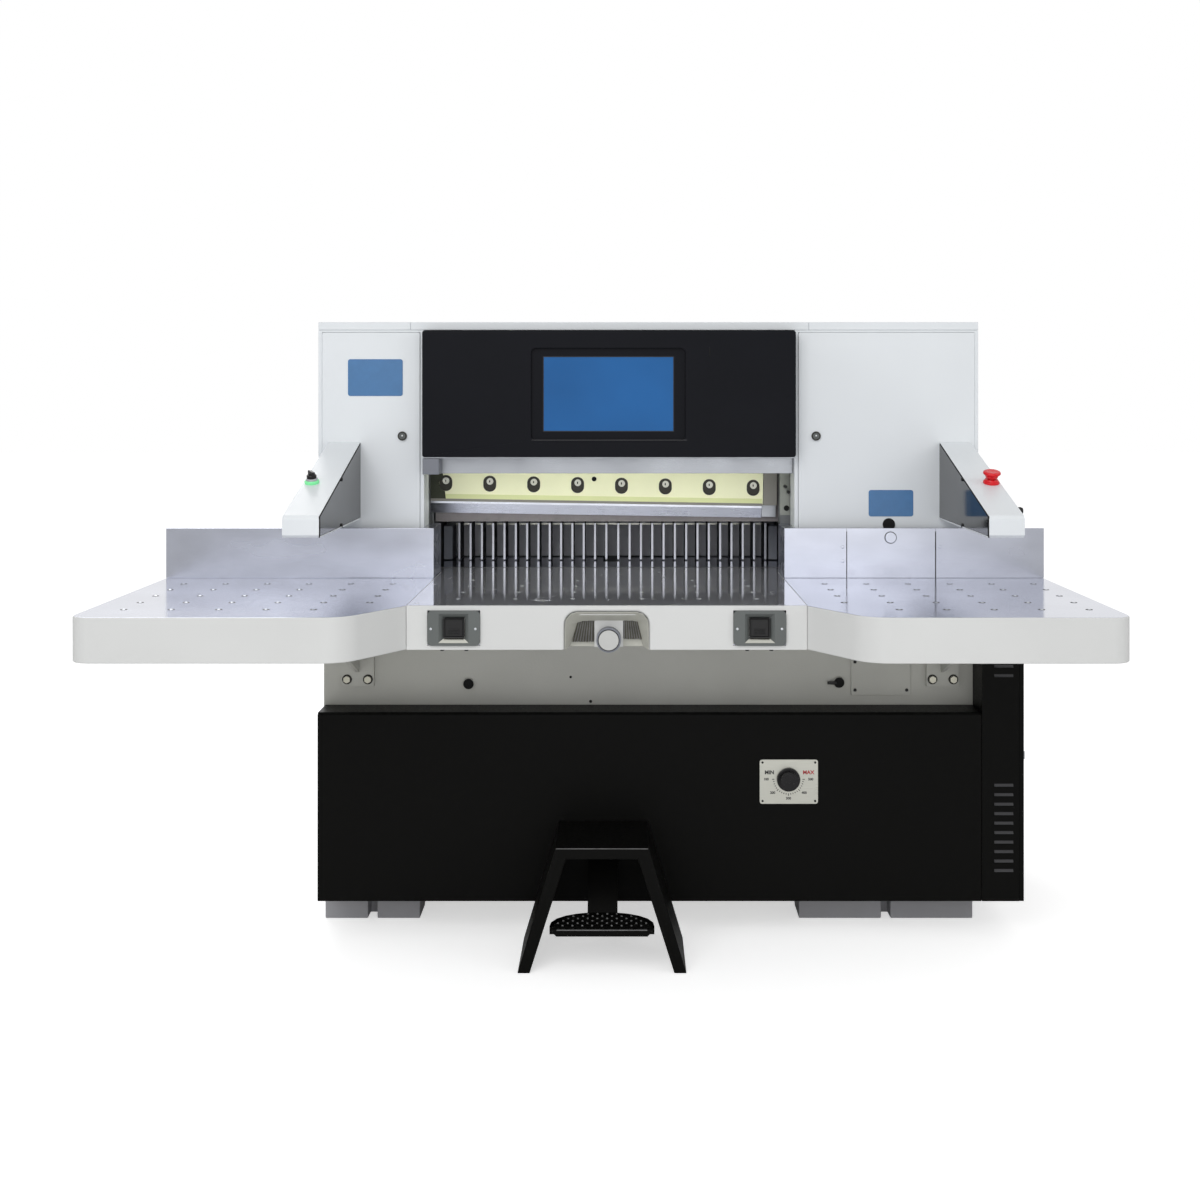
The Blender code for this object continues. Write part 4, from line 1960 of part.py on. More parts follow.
def make_dial():
    """The clamp pressure dial: a plate on the base cover and the knob that turns in front of it."""
    wall = BASE_FRONT - GAP
    x = (DIAL_X - DIAL_PLATE_LEFT_SET, DIAL_X + DIAL_PLATE_RIGHT_SET)
    z = (DIAL_Z - DIAL_PLATE_LOW_SET, DIAL_Z + DIAL_PLATE_HIGH_SET)
    outline = rectangle(x, z, DIAL_PLATE_CORNER)
    face = wall - DIAL_PLATE_THICK
    plate = prism("pressure_dial_plate", [outline], "Y", face, wall, "dial_plate")
    at = (DIAL_X, face - GAP, DIAL_Z)
    hole = disc(
        "dial_plate_hole",
        DIAL_SHAFT + GAP,
        (DIAL_X, face - OVERRUN, DIAL_Z),
        (0, 1, 0),
        OVERRUN * 2,
        steps=SMALL_STEPS,
    )
    cut(plate, hole)
    profile = [
        (0, 0),
        (DIAL_RADIUS, 0),
        (DIAL_RADIUS, DIAL_HEIGHT / 3),
        (DIAL_GRIP, DIAL_HEIGHT / 2),
        (DIAL_GRIP, DIAL_HEIGHT - DIAL_PLATE_THICK),
        (DIAL_GRIP - DIAL_PLATE_THICK, DIAL_HEIGHT),
        (0, DIAL_HEIGHT),
    ]
    knob = turned("pressure_dial", profile, at, (0, -1, 0), "black_plastic")
    stem = disc(
        "dial_stem",
        DIAL_SHAFT,
        (DIAL_X, face - DIAL_HEIGHT / 2, DIAL_Z),
        (0, 1, 0),
        DIAL_HEIGHT,
        steps=SMALL_STEPS,
    )
    fuse(knob, stem)


make_feet()
make_bed()
make_service_panel()
make_base_cover()
make_cabinet()
make_hydraulics()
make_uprights()
make_knife()
make_knife_drive()
make_clamp()
make_backgauge()
make_screw_drive()
make_main_table()
make_buttons()
make_side_tables()
make_fences()
make_rear_table()
make_tower_covers()
make_caps()
make_head()
make_barrier_arms()
make_pedal()
make_dial()
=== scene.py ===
"""Industrial paper cutter: finishes, fine pieces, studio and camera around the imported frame.

Metres, +Z up, the operator's side towards -Y. Each CAD node keeps its shape, or is
replaced by a copy with rounded edges, and the small pieces that the CAD leaves out
are modelled here and ride on its bodies.
"""

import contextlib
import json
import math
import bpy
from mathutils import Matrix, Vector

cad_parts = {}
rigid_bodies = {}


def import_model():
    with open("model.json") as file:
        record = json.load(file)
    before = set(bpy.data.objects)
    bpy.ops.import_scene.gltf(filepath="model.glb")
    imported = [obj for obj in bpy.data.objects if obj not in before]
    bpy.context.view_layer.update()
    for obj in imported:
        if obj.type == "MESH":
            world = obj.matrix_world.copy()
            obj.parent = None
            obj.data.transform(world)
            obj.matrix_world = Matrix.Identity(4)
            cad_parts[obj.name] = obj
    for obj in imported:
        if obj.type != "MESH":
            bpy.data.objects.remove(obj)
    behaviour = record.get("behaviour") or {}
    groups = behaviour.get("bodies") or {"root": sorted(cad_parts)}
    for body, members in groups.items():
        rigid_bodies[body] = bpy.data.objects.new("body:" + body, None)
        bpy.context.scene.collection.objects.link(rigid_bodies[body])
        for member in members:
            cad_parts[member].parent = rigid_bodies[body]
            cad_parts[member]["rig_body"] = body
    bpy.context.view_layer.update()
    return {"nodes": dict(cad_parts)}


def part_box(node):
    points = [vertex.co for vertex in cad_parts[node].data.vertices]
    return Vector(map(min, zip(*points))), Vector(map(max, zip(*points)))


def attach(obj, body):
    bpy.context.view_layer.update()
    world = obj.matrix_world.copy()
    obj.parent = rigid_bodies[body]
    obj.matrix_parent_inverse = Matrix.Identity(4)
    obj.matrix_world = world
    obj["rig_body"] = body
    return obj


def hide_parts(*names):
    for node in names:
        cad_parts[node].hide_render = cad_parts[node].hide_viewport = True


bl_info = {
    "name": "Paper cutter",
    "version": (1, 0, 0),
    "blender": (4, 5, 0),
    "location": "View3D > Sidebar > Paper cutter",
    "description": "Finishes and fine pieces for a programmable paper cutter",
    "category": "Object",
}

import bmesh
import bpy
from mathutils import Euler, Matrix, Vector

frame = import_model()
NODES = frame["nodes"]

# The drawing's datum, middle of the cut at the column covers' front, in the frame
DATUM = Vector((0.010, -0.348, 0.0))

# The photograph's camera, level, and what its picture needs to be laid over the part
CAMERA = Vector((0.047, -3.948, 1.350))
PHOTO_SIDE = 1200
PHOTO_MIDDLE = Vector((624, 396))
FOCAL_PIXELS = 1440
SENSOR = 36

FRONT = (0, -1, 0)
UP = (0, 0, 1)
MM = 0.001
SHARP = math.radians(32)
FLAT_ANGLE = 0.004
MERGE = 0.00001
ROUND = 48

# How close to a direction, as a cosine, a face must look or an edge must run
ALIKE = 0.9
PARALLEL = 0.95


# ---------------------------------------------------------------- small helpers


def linear_rgb(code):
    """A hex sRGB colour as linear red, green and blue."""
    parts = [int(code[i : i + 2], 16) / 255 for i in (0, 2, 4)]
    return tuple(p / 12.92 if p <= 0.04045 else ((p + 0.055) / 1.055) ** 2.4 for p in parts)


def at(x, y, z):
    """A place given from the drawing's datum, in the frame."""
    return Vector((x, y, z)) + DATUM


def from_photo(px, py, y):
    """The place at depth y, in the frame, that the photograph shows at a pixel."""
    reach = (y - CAMERA.y) / FOCAL_PIXELS
    return Vector((CAMERA.x + (px - PHOTO_MIDDLE.x) * reach, y, CAMERA.z - (py - PHOTO_MIDDLE.y) * reach))


def corners(node):
    """The low and the high corner of a CAD node's box."""
    return tuple(Vector(corner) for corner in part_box(node))


def place_at(x, y, z):
    """A place whose x and z are given from the drawing's datum, and y in the frame."""
    return Vector((x + DATUM.x, y, z + DATUM.z))


def colour_value(label, text, code):
    """A colour property whose default is a hex sRGB colour."""
    return bpy.props.FloatVectorProperty(
        name=label, description=text, subtype="COLOR", size=3, min=0, max=1, default=linear_rgb(code)
    )


def length_value(label, text, default):
    """A length property in metres."""
    return bpy.props.FloatProperty(
        name=label, description=text, default=default, min=0, unit="LENGTH", precision=4
    )


def deselect():
    """Leaves edit mode and selects nothing."""
    if bpy.context.object and bpy.context.object.mode != "OBJECT":
        bpy.ops.object.mode_set(mode="OBJECT")
    bpy.ops.object.select_all(action="DESELECT")


def activate(*pieces):
    """Selects these pieces, the first one active."""
    deselect()
    for piece in pieces:
        piece.select_set(True)
    bpy.context.view_layer.objects.active = pieces[0]


def apply_place(piece):
    """Puts a piece's place, turn and scale into its mesh."""
    activate(piece)
    bpy.ops.object.transform_apply(location=True, rotation=True, scale=True)
    return piece


def named(name):
    """The piece just made, under its name."""
    piece = bpy.context.object
    piece.name = name
    return piece


def shaped(piece, kind, **settings):
    """Adds a modifier with its settings to a piece and applies it."""
    activate(piece)
    step = piece.modifiers.new(kind, kind)
    for key, value in settings.items():
        setattr(step, key, value)
    bpy.ops.object.modifier_apply(modifier=step.name)
    return piece


def box(name, low, high):
    """A block between two corners."""
    deselect()
    low, high = Vector(low), Vector(high)
    bpy.ops.mesh.primitive_cube_add(size=1, location=(low + high) / 2)
    piece = named(name)
    piece.scale = high - low
    return apply_place(piece)


def slab(name, middle, half_x, half_z, front, back):
    """A block about a middle in X and Z, between two depths."""
    low, high = middle - Vector((half_x, 0, half_z)), middle + Vector((half_x, 0, half_z))
    return box(name, (low.x, front, low.z), (high.x, back, high.z))


def rod(name, radius, length, place, direction=FRONT, sides=ROUND):
    """A cylinder from place along direction."""
    deselect()
    along = Vector(direction).normalized()
    bpy.ops.mesh.primitive_cylinder_add(
        vertices=sides, radius=radius, depth=length, location=Vector(place) + along * length / 2
    )
    piece = named(name)
    piece.rotation_euler = Vector(UP).rotation_difference(along).to_euler()
    return apply_place(piece)


@contextlib.contextmanager
def editing(piece):
    """Edit mode on a piece, with all of it selected."""
    activate(piece)
    bpy.ops.object.mode_set(mode="EDIT")
    bpy.ops.mesh.select_all(action="SELECT")
    yield
    bpy.ops.object.mode_set(mode="OBJECT")


@contextlib.contextmanager
def picked(piece, kind, test):
    """Edit mode on a piece, with only the faces, edges or points selected for which test is true."""
    with editing(piece):
        bpy.ops.mesh.select_mode(type=kind)
        bpy.ops.mesh.select_all(action="DESELECT")
        bm = bmesh.from_edit_mesh(piece.data)
        bm.normal_update()
        for item in {"FACE": bm.faces, "EDGE": bm.edges, "VERT": bm.verts}[kind]:
            if test(item):
                item.select_set(True)
        bm.select_flush_mode()
        bmesh.update_edit_mesh(piece.data)
        yield


def facing(direction):
    """A test for faces that look along a direction."""
    along = Vector(direction).normalized()
    return lambda face: face.normal.dot(along) > ALIKE


def edges_along(direction):
    """A test for edges that run along a direction."""
    along = Vector(direction).normalized()

    def test(edge):
        run = edge.verts[1].co - edge.verts[0].co
        return run.length > 0 and abs(run.normalized().dot(along)) > PARALLEL

    return test


def edges_before(y):
    """A test for edges that lie wholly before y."""
    return lambda edge: all(v.co.y < y for v in edge.verts)


def edges_above(z):
    """A test for edges that lie wholly above z."""
    return lambda edge: all(v.co.z > z for v in edge.verts)


def inset(piece, test, width, depth=0.0):
    """Insets the faces that pass the test, and moves them in or out."""
    with picked(piece, "FACE", test):
        bpy.ops.mesh.inset(thickness=width, depth=depth)


def round_edges(piece, test, width, segments=3):
    """Rounds the edges that pass the test."""
    with picked(piece, "EDGE", test):
        bpy.ops.mesh.bevel(offset=width, offset_type="OFFSET", segments=segments, profile=0.5, affect="EDGES")


def soften(piece, width, segments=2, clamp=True):
    """Rounds all sharp edges."""
    return shaped(
        piece, "BEVEL", width=width, segments=segments, limit_method="ANGLE", angle_limit=SHARP,
        use_clamp_overlap=clamp, harden_normals=False,
    )


def carve(piece, tool):
    """Cuts a tool out of a piece and removes the tool."""
    shaped(piece, "BOOLEAN", operation="DIFFERENCE", object=tool)
    bpy.data.objects.remove(tool, do_unlink=True)
    return piece


def joined(name, pieces):
    """Several pieces as one object."""
    activate(*pieces)
    if len(pieces) > 1:
        bpy.ops.object.join()
    return named(name)


def repeated(piece, places):
    """The piece, made about the origin, moved to the first of these places, and a copy of it at each other."""
    found = [piece]
    for place in places[1:]:
        activate(piece)
        bpy.ops.object.duplicate(linked=False)
        found.append(bpy.context.object)
    for one, place in zip(found, places):
        one.location = place
        apply_place(one)
    return found


def settled(piece, look, body="machine", node=None, smooth=True):
    """Gives a finished piece its look and body, and hides the node it stands for."""
    activate(piece)
    if smooth:
        bpy.ops.object.shade_smooth_by_angle(angle=SHARP)
        shaped(piece, "WEIGHTED_NORMAL", keep_sharp=True)
    piece.data.materials.clear()
    piece.data.materials.append(LOOKS[look][0])
    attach(piece, body)
    if node:
        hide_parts(node)
    return piece


def gathered(name, pieces, look, body="machine", node=None, smooth=True):
    """Several pieces joined and settled as one."""
    return settled(joined(name, pieces), look, body, node, smooth)


def block(name, low, high, edge, look, body="machine"):
    """A settled block with rounded edges."""
    return settled(soften(box(name, low, high), edge), look, body)


def lofted(name, rings, thick):
    """A skin between open rings of points, given a thickness."""
    bm = bmesh.new()
    rows = [[bm.verts.new(point) for point in ring] for ring in rings]
    for first, second in zip(rows, rows[1:]):
        for i in range(len(first) - 1):
            bm.faces.new((first[i], first[i + 1], second[i + 1], second[i]))
    bmesh.ops.recalc_face_normals(bm, faces=bm.faces)
    mesh = bpy.data.meshes.new(name)
    bm.to_mesh(mesh)
    bm.free()
    piece = bpy.data.objects.new(name, mesh)
    bpy.context.scene.collection.objects.link(piece)
    return shaped(piece, "SOLIDIFY", thickness=thick, offset=0)


def node_copy(node, name=None):
    """A loose copy of a CAD node's mesh, with its doubles merged and its flat faces joined."""
    source = NODES[node]
    piece = bpy.data.objects.new(name or node + "_shell", source.data.copy())
    bpy.context.scene.collection.objects.link(piece)
    with editing(piece):
        bpy.ops.mesh.customdata_custom_splitnormals_clear()
        bpy.ops.mesh.remove_doubles(threshold=MERGE)
        bpy.ops.mesh.dissolve_limited(angle_limit=FLAT_ANGLE)
    return piece


def rounded(node, look, width):
    """Replaces a CAD node by a copy of it with rounded edges."""
    piece = soften(node_copy(node), width)
    return settled(piece, look, body=NODES[node]["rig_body"], node=node)


# -------------------------------------------------------------------- finishes


def add_node(tree, kind, inputs=None, **settings):
    """Adds a node with its settings, and sets or links its inputs."""
    node = tree.nodes.new("ShaderNode" + kind)
    for key, value in settings.items():
        setattr(node, key, value)
    for key, value in (inputs or {}).items():
        if isinstance(value, bpy.types.NodeSocket):
            tree.links.new(value, node.inputs[key])
        else:
            node.inputs[key].default_value = value
    return node


def new_finish(name, colour, settings):
    """A material of one colour with its shader's plain settings, as (material, tree, shader)."""
    made = bpy.data.materials.new(name)
    made.use_nodes = True
    shader = made.node_tree.nodes["Principled BSDF"]
    shader.inputs["Base Color"].default_value = (*colour, 1)
    made.diffuse_color = (*colour, 1)
    for key, value in settings.items():
        shader.inputs[key].default_value = value
    return made, made.node_tree, shader


def object_place(tree, scale=(1, 1, 1)):
    """Object coordinates in metres, stretched."""
    place = add_node(tree, "TexCoord").outputs["Object"]
    return add_node(tree, "Mapping", {"Vector": place, "Scale": scale}).outputs["Vector"]


def noise(tree, vector, size, detail=2.0, roughness=0.5):
    """Noise whose features are about size metres across, from 0 to 1."""
    settings = {"Vector": vector, "Scale": 1 / size, "Detail": detail, "Roughness": roughness}
    return add_node(tree, "TexNoise", settings).outputs["Fac"]


def maths(tree, operation, *values):
    """The result of a sum on these values."""
    return add_node(tree, "Math", dict(enumerate(values)), operation=operation).outputs["Value"]


def between(tree, value, low, high, start=0.3, end=0.7):
    """Maps a 0 to 1 pattern onto a range."""
    settings = {"Value": value, "From Min": start, "From Max": end, "To Min": low, "To Max": high}
    return add_node(tree, "MapRange", settings).outputs["Result"]


def shade(tree, shader, value, colour, low, high):
    """Varies the base colour's brightness by a pattern, between two shares."""
    share = between(tree, value, low, high)
    mixed = add_node(tree, "VectorMath", {0: colour, "Scale": share}, operation="SCALE")
    tree.links.new(mixed.outputs["Vector"], shader.inputs["Base Color"])


def roughen(tree, shader, pattern, low, high, start=0.3, end=0.7):
    """Varies the roughness by a pattern, between two values."""
    tree.links.new(between(tree, pattern, low, high, start, end), shader.inputs["Roughness"])


def relief(tree, shader, height, depth):
    """Bump of a height pattern, depth metres deep."""
    bump = add_node(tree, "Bump", {"Height": height, "Strength": 1.0, "Distance": depth})
    tree.links.new(bump.outputs["Normal"], shader.inputs["Normal"])


def powder_coat(name, colour, roughness=0.38, gloss=0.45, ripple=0.005, depth=0.00006):
    """Baked powder coat on sheet steel: an even colour with a fine orange peel that breaks up its sheen.
    The real peel is about 1 mm; it is drawn 5 mm wide so that it shows."""
    made, tree, shader = new_finish(name, colour, {"IOR": 1.5, "Specular IOR Level": gloss})
    place = object_place(tree)
    peel = noise(tree, place, ripple, 3)
    broad = noise(tree, place, 0.35, 2)
    shade(tree, shader, broad, colour, 0.965, 1.02)
    roughen(tree, shader, peel, roughness - 0.06, roughness + 0.08)
    relief(tree, shader, peel, depth)
    return made


def cast_enamel(name, colour, roughness=0.5):
    """Brushed machine enamel over a filled casting: broad, soft unevenness and a dull sheen."""
    made, tree, shader = new_finish(name, colour, {"IOR": 1.5, "Specular IOR Level": 0.4})
    place = object_place(tree)
    lumps = noise(tree, place, 0.045, 4, 0.55)
    grain = noise(tree, place, 0.004, 2)
    shade(tree, shader, noise(tree, place, 0.25, 3), colour, 0.93, 1.04)
    roughen(tree, shader, grain, roughness - 0.08, roughness + 0.12)
    relief(tree, shader, maths(tree, "MULTIPLY", lumps, grain), 0.0006)
    return made


def bare_casting(name, colour, roughness=0.55):
    """Primed grey iron inside the machine: a sandy surface, half metal."""
    made, tree, shader = new_finish(name, colour, {"Metallic": 0.45})
    place = object_place(tree)
    sand = noise(tree, place, 0.003, 3, 0.6)
    shade(tree, shader, noise(tree, place, 0.06, 4), colour, 0.85, 1.08)
    roughen(tree, shader, sand, roughness - 0.1, roughness + 0.15)
    relief(tree, shader, sand, 0.0003)
    return made


def ground_metal(name, colour, roughness, stretch, line):
    """Metal finished by grinding or brushing: fine parallel lines, and clouds where it was handled.
    The real lines are 0.1 mm apart; they are drawn about 1 mm apart so that they show."""
    made, tree, shader = new_finish(name, colour, {"Metallic": 1.0})
    lines = noise(tree, object_place(tree, stretch), line, 2, 0.6)
    clouds = noise(tree, object_place(tree), 0.12, 3, 0.6)
    both = maths(tree, "MULTIPLY", lines, clouds)
    roughen(tree, shader, both, roughness * 0.7, roughness * 1.5, 0.1, 0.45)
    shade(tree, shader, lines, colour, 0.94, 1.04)
    relief(tree, shader, lines, 0.00002)
    return made


def scratches(tree, spread, width):
    """Long curved hair lines, 0 to 1: narrow contours of a soft noise, kept only in patches."""
    contour = noise(tree, object_place(tree), spread, 1)
    off = maths(tree, "ABSOLUTE", maths(tree, "SUBTRACT", contour, 0.5))
    patches = between(tree, noise(tree, object_place(tree, (1, 1.6, 1)), spread * 0.8, 2), 0.0, 1.0, 0.50, 0.60)
    lines = between(tree, off, 1.0, 0.0, 0.0, width)
    return maths(tree, "MULTIPLY", lines, patches)


def polished_metal(name, colour, roughness, cloud, worn=0.0):
    """Steel or chrome polished by hand: no lines left, only wide soft clouds of finer and coarser polish,
    and on a worn one the scratches of years of sliding stock."""
    made, tree, shader = new_finish(name, colour, {"Metallic": 1.0 - worn})
    place = object_place(tree, (0.5, 1, 1))
    clouds = noise(tree, place, cloud, 2, 0.5)
    rough = between(tree, clouds, roughness * 0.75, roughness * 1.35, 0.2, 0.8)
    if worn:
        lines = scratches(tree, 0.13, 0.006)
        rough = maths(tree, "MULTIPLY_ADD", lines, 0.3, rough)
        metal = between(tree, lines, 1.0 - worn, 0.62, 0.0, 1.0)
        tree.links.new(metal, shader.inputs["Metallic"])
    tree.links.new(rough, shader.inputs["Roughness"])
    shade(tree, shader, noise(tree, place, cloud * 0.6, 3), colour, 0.94, 1.03)
    return made


def moulded(name, colour, roughness=0.42, grain=0.0025, gloss=0.4):
    """Injection moulded plastic: a fine spark-eroded grain, drawn 2.5 mm wide, and a satin sheen."""
    made, tree, shader = new_finish(name, colour, {"IOR": 1.46, "Specular IOR Level": gloss})
    place = object_place(tree)
    skin = noise(tree, place, grain, 2)
    shade(tree, shader, noise(tree, place, 0.12, 2), colour, 0.94, 1.05)
    roughen(tree, shader, skin, roughness - 0.05, roughness + 0.1)
    relief(tree, shader, skin, 0.00005)
    return made


def clear_sheet(name, colour, roughness=0.06, gloss=0.5):
    """Tinted acrylic or glass over a dark space: deep colour, hard reflections, faint wipe marks."""
    made, tree, shader = new_finish(name, colour, {"IOR": 1.49, "Specular IOR Level": gloss})
    wipe = noise(tree, object_place(tree, (1, 1, 0.25)), 0.05, 4, 0.6)
    shade(tree, shader, noise(tree, object_place(tree), 0.2, 2), colour, 0.9, 1.08)
    roughen(tree, shader, wipe, roughness, roughness + 0.1)
    return made


def lit_lens(name, colour, strength):
    """A plastic lens lit from behind: its own colour shines evenly, with a faint mottling."""
    made, tree, shader = new_finish(name, colour, {"IOR": 1.49, "Roughness": 0.25})
    shader.inputs["Emission Color"].default_value = (*colour, 1)
    shader.inputs["Emission Strength"].default_value = strength
    mottle = noise(tree, object_place(tree), 0.004, 2)
    shade(tree, shader, mottle, colour, 0.92, 1.05)
    return made


def moulded_rubber(name, colour):
    """Vulcanised rubber: almost black, dull, with a dusty bloom."""
    made, tree, shader = new_finish(name, colour, {"IOR": 1.5, "Specular IOR Level": 0.3})
    place = object_place(tree)
    bloom = noise(tree, place, 0.02, 4, 0.6)
    shade(tree, shader, bloom, colour, 0.75, 1.35)
    roughen(tree, shader, bloom, 0.6, 0.85)
    relief(tree, shader, noise(tree, place, 0.002, 2), 0.0002)
    return made


def printed_film(name, colour):
    """Screen-printed vinyl film: flat colour with a slight cloth-like grain under its laminate."""
    made, tree, shader = new_finish(name, colour, {"IOR": 1.5, "Coat Weight": 0.25, "Coat Roughness": 0.2})
    place = object_place(tree)
    shade(tree, shader, noise(tree, place, 0.02, 2), colour, 0.95, 1.04)
    roughen(tree, shader, noise(tree, place, 0.0015, 2), 0.3, 0.45)
    return made


class CutterColours(bpy.types.PropertyGroup):
    """The colours of the machine's finishes."""

    covers: colour_value("Covers", "Powder coat of the column covers, arms and hood", "E0E4E7")
    aprons: colour_value("Aprons", "Enamel of the table rims and the front apron", "D2D3D2")
    bed: colour_value("Bed", "Grey enamel of the bed casting", "BDBDB6")
    feet: colour_value("Feet", "Grey enamel of the feet and the service panel", "A6A6AA")
    base: colour_value("Base", "Black powder coat of the base, cabinet and guard", "0E0E0D")
    head: colour_value("Head", "Satin black of the head panel", "131419")
    screen: colour_value("Screen", "Plain screen", "26609C")
    labels: colour_value("Blank plates", "Film of the two blank plates", "3B70A2")
    knife_beam: colour_value("Knife beam", "Enamel of the knife beam", "FAFBD6")
    table: colour_value("Tables", "Polished and chromed table tops", "BFC2CE")
    fences: colour_value("Fences", "Polished steel of the fences", "BCBFCA")
    buttons: colour_value("Button plates", "Grey moulding round the cut buttons", "5F6362")
    stop: colour_value("Emergency stop", "Red of the mushroom head", "D3141F")
    ring: colour_value("Selector ring", "Green lens round the mode selector", "74D592")


class CutterSizes(bpy.types.PropertyGroup):
    """Sizes of the small pieces."""

    edge: length_value("Edge", "Rounding of sheet metal edges", 0.0018)
    screw_radius: length_value("Screw radius", "Radius of the screws in the rear and base covers", 0.0055)
    air_hole_radius: length_value("Air hole radius", "Radius of the seats of the air valves", 0.0075)
    air_hole_pitch: length_value("Air hole pitch", "Distance between air valves", 0.100)
    tick_length: length_value("Tick length", "Length of the dial's ticks", 0.0058)


LOOKS = {}


def make_looks():
    """All finishes, each with the record's material slot that it belongs to."""
    c = bpy.context.scene.cutter_colours
    along_x, along_y, along_z = (0.02, 1, 1), (1, 0.02, 1), (1, 1, 0.02)
    rows = (
        ("covers", "white_enamel", powder_coat, "powder_coat_white", c.covers),
        ("aprons", "apron_enamel", powder_coat, "enamel_off_white", c.aprons, 0.36, 0.45, 0.02, 0.00003),
        ("bed", "bed_casting", cast_enamel, "enamel_on_iron_grey", c.bed),
        ("feet", "grey_enamel", cast_enamel, "enamel_on_feet_grey", c.feet, 0.6),
        ("base", "black_enamel", powder_coat, "powder_coat_black", c.base, 0.36, 0.06),
        ("head", "head_plastic", moulded, "abs_satin_black", c.head, 0.34, 0.003, 0.08),
        ("screen", "screen_glass", clear_sheet, "display_glass_blue", c.screen, 0.1, 0.1),
        ("labels", "label_film", printed_film, "vinyl_film_blue", c.labels),
        ("window", "window_acrylic", clear_sheet, "tinted_acrylic", "0F1115", 0.04),
        ("table", "polished_table", polished_metal, "chromed_iron_polished", c.table, 0.13, 0.2),
        ("fences", "polished_steel", polished_metal, "steel_polished", c.fences, 0.24, 0.09),
        ("bright", "polished_steel", ground_metal, "steel_ground_round", "C2C5CA", 0.16, along_z, 0.001),
        ("brushed", "brushed_steel", ground_metal, "stainless_brushed", "9C9FA4", 0.34, along_x, 0.001),
        ("knife", "knife_steel", ground_metal, "tool_steel_ground", "D6D9E2", 0.3, along_x, 0.0012),
        ("comb", "brushed_aluminium", ground_metal, "aluminium_milled", "A8AAB0", 0.3, along_z, 0.001),
        # Lit and shaded copies of the comb's aluminium: painted shade on the teeth's sides, painted light on the
        # web
        ("comb_side", "brushed_aluminium", bare_casting, "aluminium_cast_dark", "46474C", 0.6),
        ("comb_web", "brushed_aluminium", powder_coat, "aluminium_cast_dull", "DEDFE5", 0.55),
        # Black oxide for real washers and seams, and painted shade in the beam's windows and screw sockets
        ("washer", "black_screw", moulded, "steel_black_oxide", "2B2924", 0.5),
        ("end_block", "grey_enamel", powder_coat, "enamel_warm_grey", "85837E", 0.5),
        ("gib", "grey_enamel", powder_coat, "enamel_green_grey", "8E918B", 0.45),
        # The apron's enamel darkened as painted shade, for the arch's funnel and back
        ("funnel", "apron_enamel", powder_coat, "enamel_stone_grey", "B7B7AE", 0.4),
        ("main_table", "polished_table", polished_metal, "chromed_iron_worn", "D8D9E0", 0.07, 0.2, 0.25),
        ("bolt", "zinc_screw", ground_metal, "steel_yellow_zinc", "B4B2A4", 0.35, along_y, 0.001),
        ("beam_lip", "knife_beam_enamel", cast_enamel, "enamel_yellow_green", "DFE5AC", 0.45),
        # Painted shadow on the knife beam's left end
        ("beam_dark", "knife_beam_enamel", cast_enamel, "enamel_in_shade", "34382A", 0.6),
        ("arm_plate", "grey_enamel", powder_coat, "powder_coat_mid_grey", "777A82", 0.42),
        ("black_knob", "black_plastic", moulded, "plastic_glossy_black", "0B0A0C", 0.28),
        # Grey enamel darkened as painted shade, for the handwheel's face
        ("wheel_face", "white_enamel", powder_coat, "enamel_pale_grey", "BDBEBC", 0.4),
        ("plate", "brushed_aluminium", ground_metal, "aluminium_anodised", "C9C9C0", 0.36, along_x, 0.0008),
        ("clamp", "clamp_iron", bare_casting, "iron_ground_dark", "7E7A7B", 0.5),
        ("knife_beam", "knife_beam_enamel", cast_enamel, "enamel_pale_green", c.knife_beam, 0.45),
        ("iron", "cast_iron", bare_casting, "iron_primed", "6C6E70"),
        ("housing", "zinc_housing", powder_coat, "motor_paint_dark", "3A3B3D", 0.5),
        ("tank", "tank_enamel", powder_coat, "tank_paint_blue", "3E5A78", 0.45),
        ("stick", "stick_plastic", moulded, "pvc_stick", "77777C", 0.5),
        ("button_plate", "button_plastic", moulded, "abs_grey", c.buttons, 0.5),
        ("black_plastic", "black_plastic", moulded, "nylon_black", "0E0E0F", 0.38),
        ("stop", "red_plastic", moulded, "pc_red", c.stop, 0.28),
        ("ring", "green_lens", lit_lens, "pc_lens_green", c.ring, 0.35),
        ("lamp", "lamp_lens", lit_lens, "lamp_diffuser", "FAFCEB", 5.2),
        # Grey rubber for the pedal's studs and rim and the brush ribs, and a painted highlight on the guard's edge
        ("worn_rubber", "pedal_rubber", moulded_rubber, "rubber_worn_grey", "6E6E6E"),
        # Painted highlight for lit edges: the louvres' slopes and the bezel's edge
        ("louvre", "black_enamel", powder_coat, "powder_coat_worn_edge", "28282B", 0.4),
        ("brush", "brush_nylon", moulded_rubber, "nylon_filaments", "4C4A40"),
        ("zinc", "zinc_screw", ground_metal, "steel_zinc_plated", "B9BCC0", 0.28, along_y, 0.001),
        ("black_screw", "black_screw", moulded, "steel_blackened", "101011", 0.4),
        # Black for real dark parts, such as the gasket, caps and brush backing, and painted shade in holes and
        # grooves
        ("hole", "black_screw", moulded, "hollow_dark", "070707", 0.8),
        ("ink_black", "black_plastic", printed_film, "ink_black", "17181A"),
        ("ink_red", "red_plastic", printed_film, "ink_red", "B5222B"),
        ("ink_white", "white_enamel", printed_film, "ink_white", "DADCDE"),
    )
    for key, slot, finish, name, colour, *rest in rows:
        if isinstance(colour, str):
            colour = linear_rgb(colour)
        LOOKS[key] = (finish(name, colour, *rest), slot)


def paint(look, *nodes):
    """Gives CAD nodes a finish, their shape kept as it is."""
    for name in nodes:
        node = NODES[name]
        node.data.materials.clear()
        node.data.materials.append(LOOKS[look][0])


class Step:
    """A step of the build: an operator that runs its own build method."""

    def execute(self, context):
        self.build(context)
        return {"FINISHED"}


# ----------------------------------------------------------------------- stage


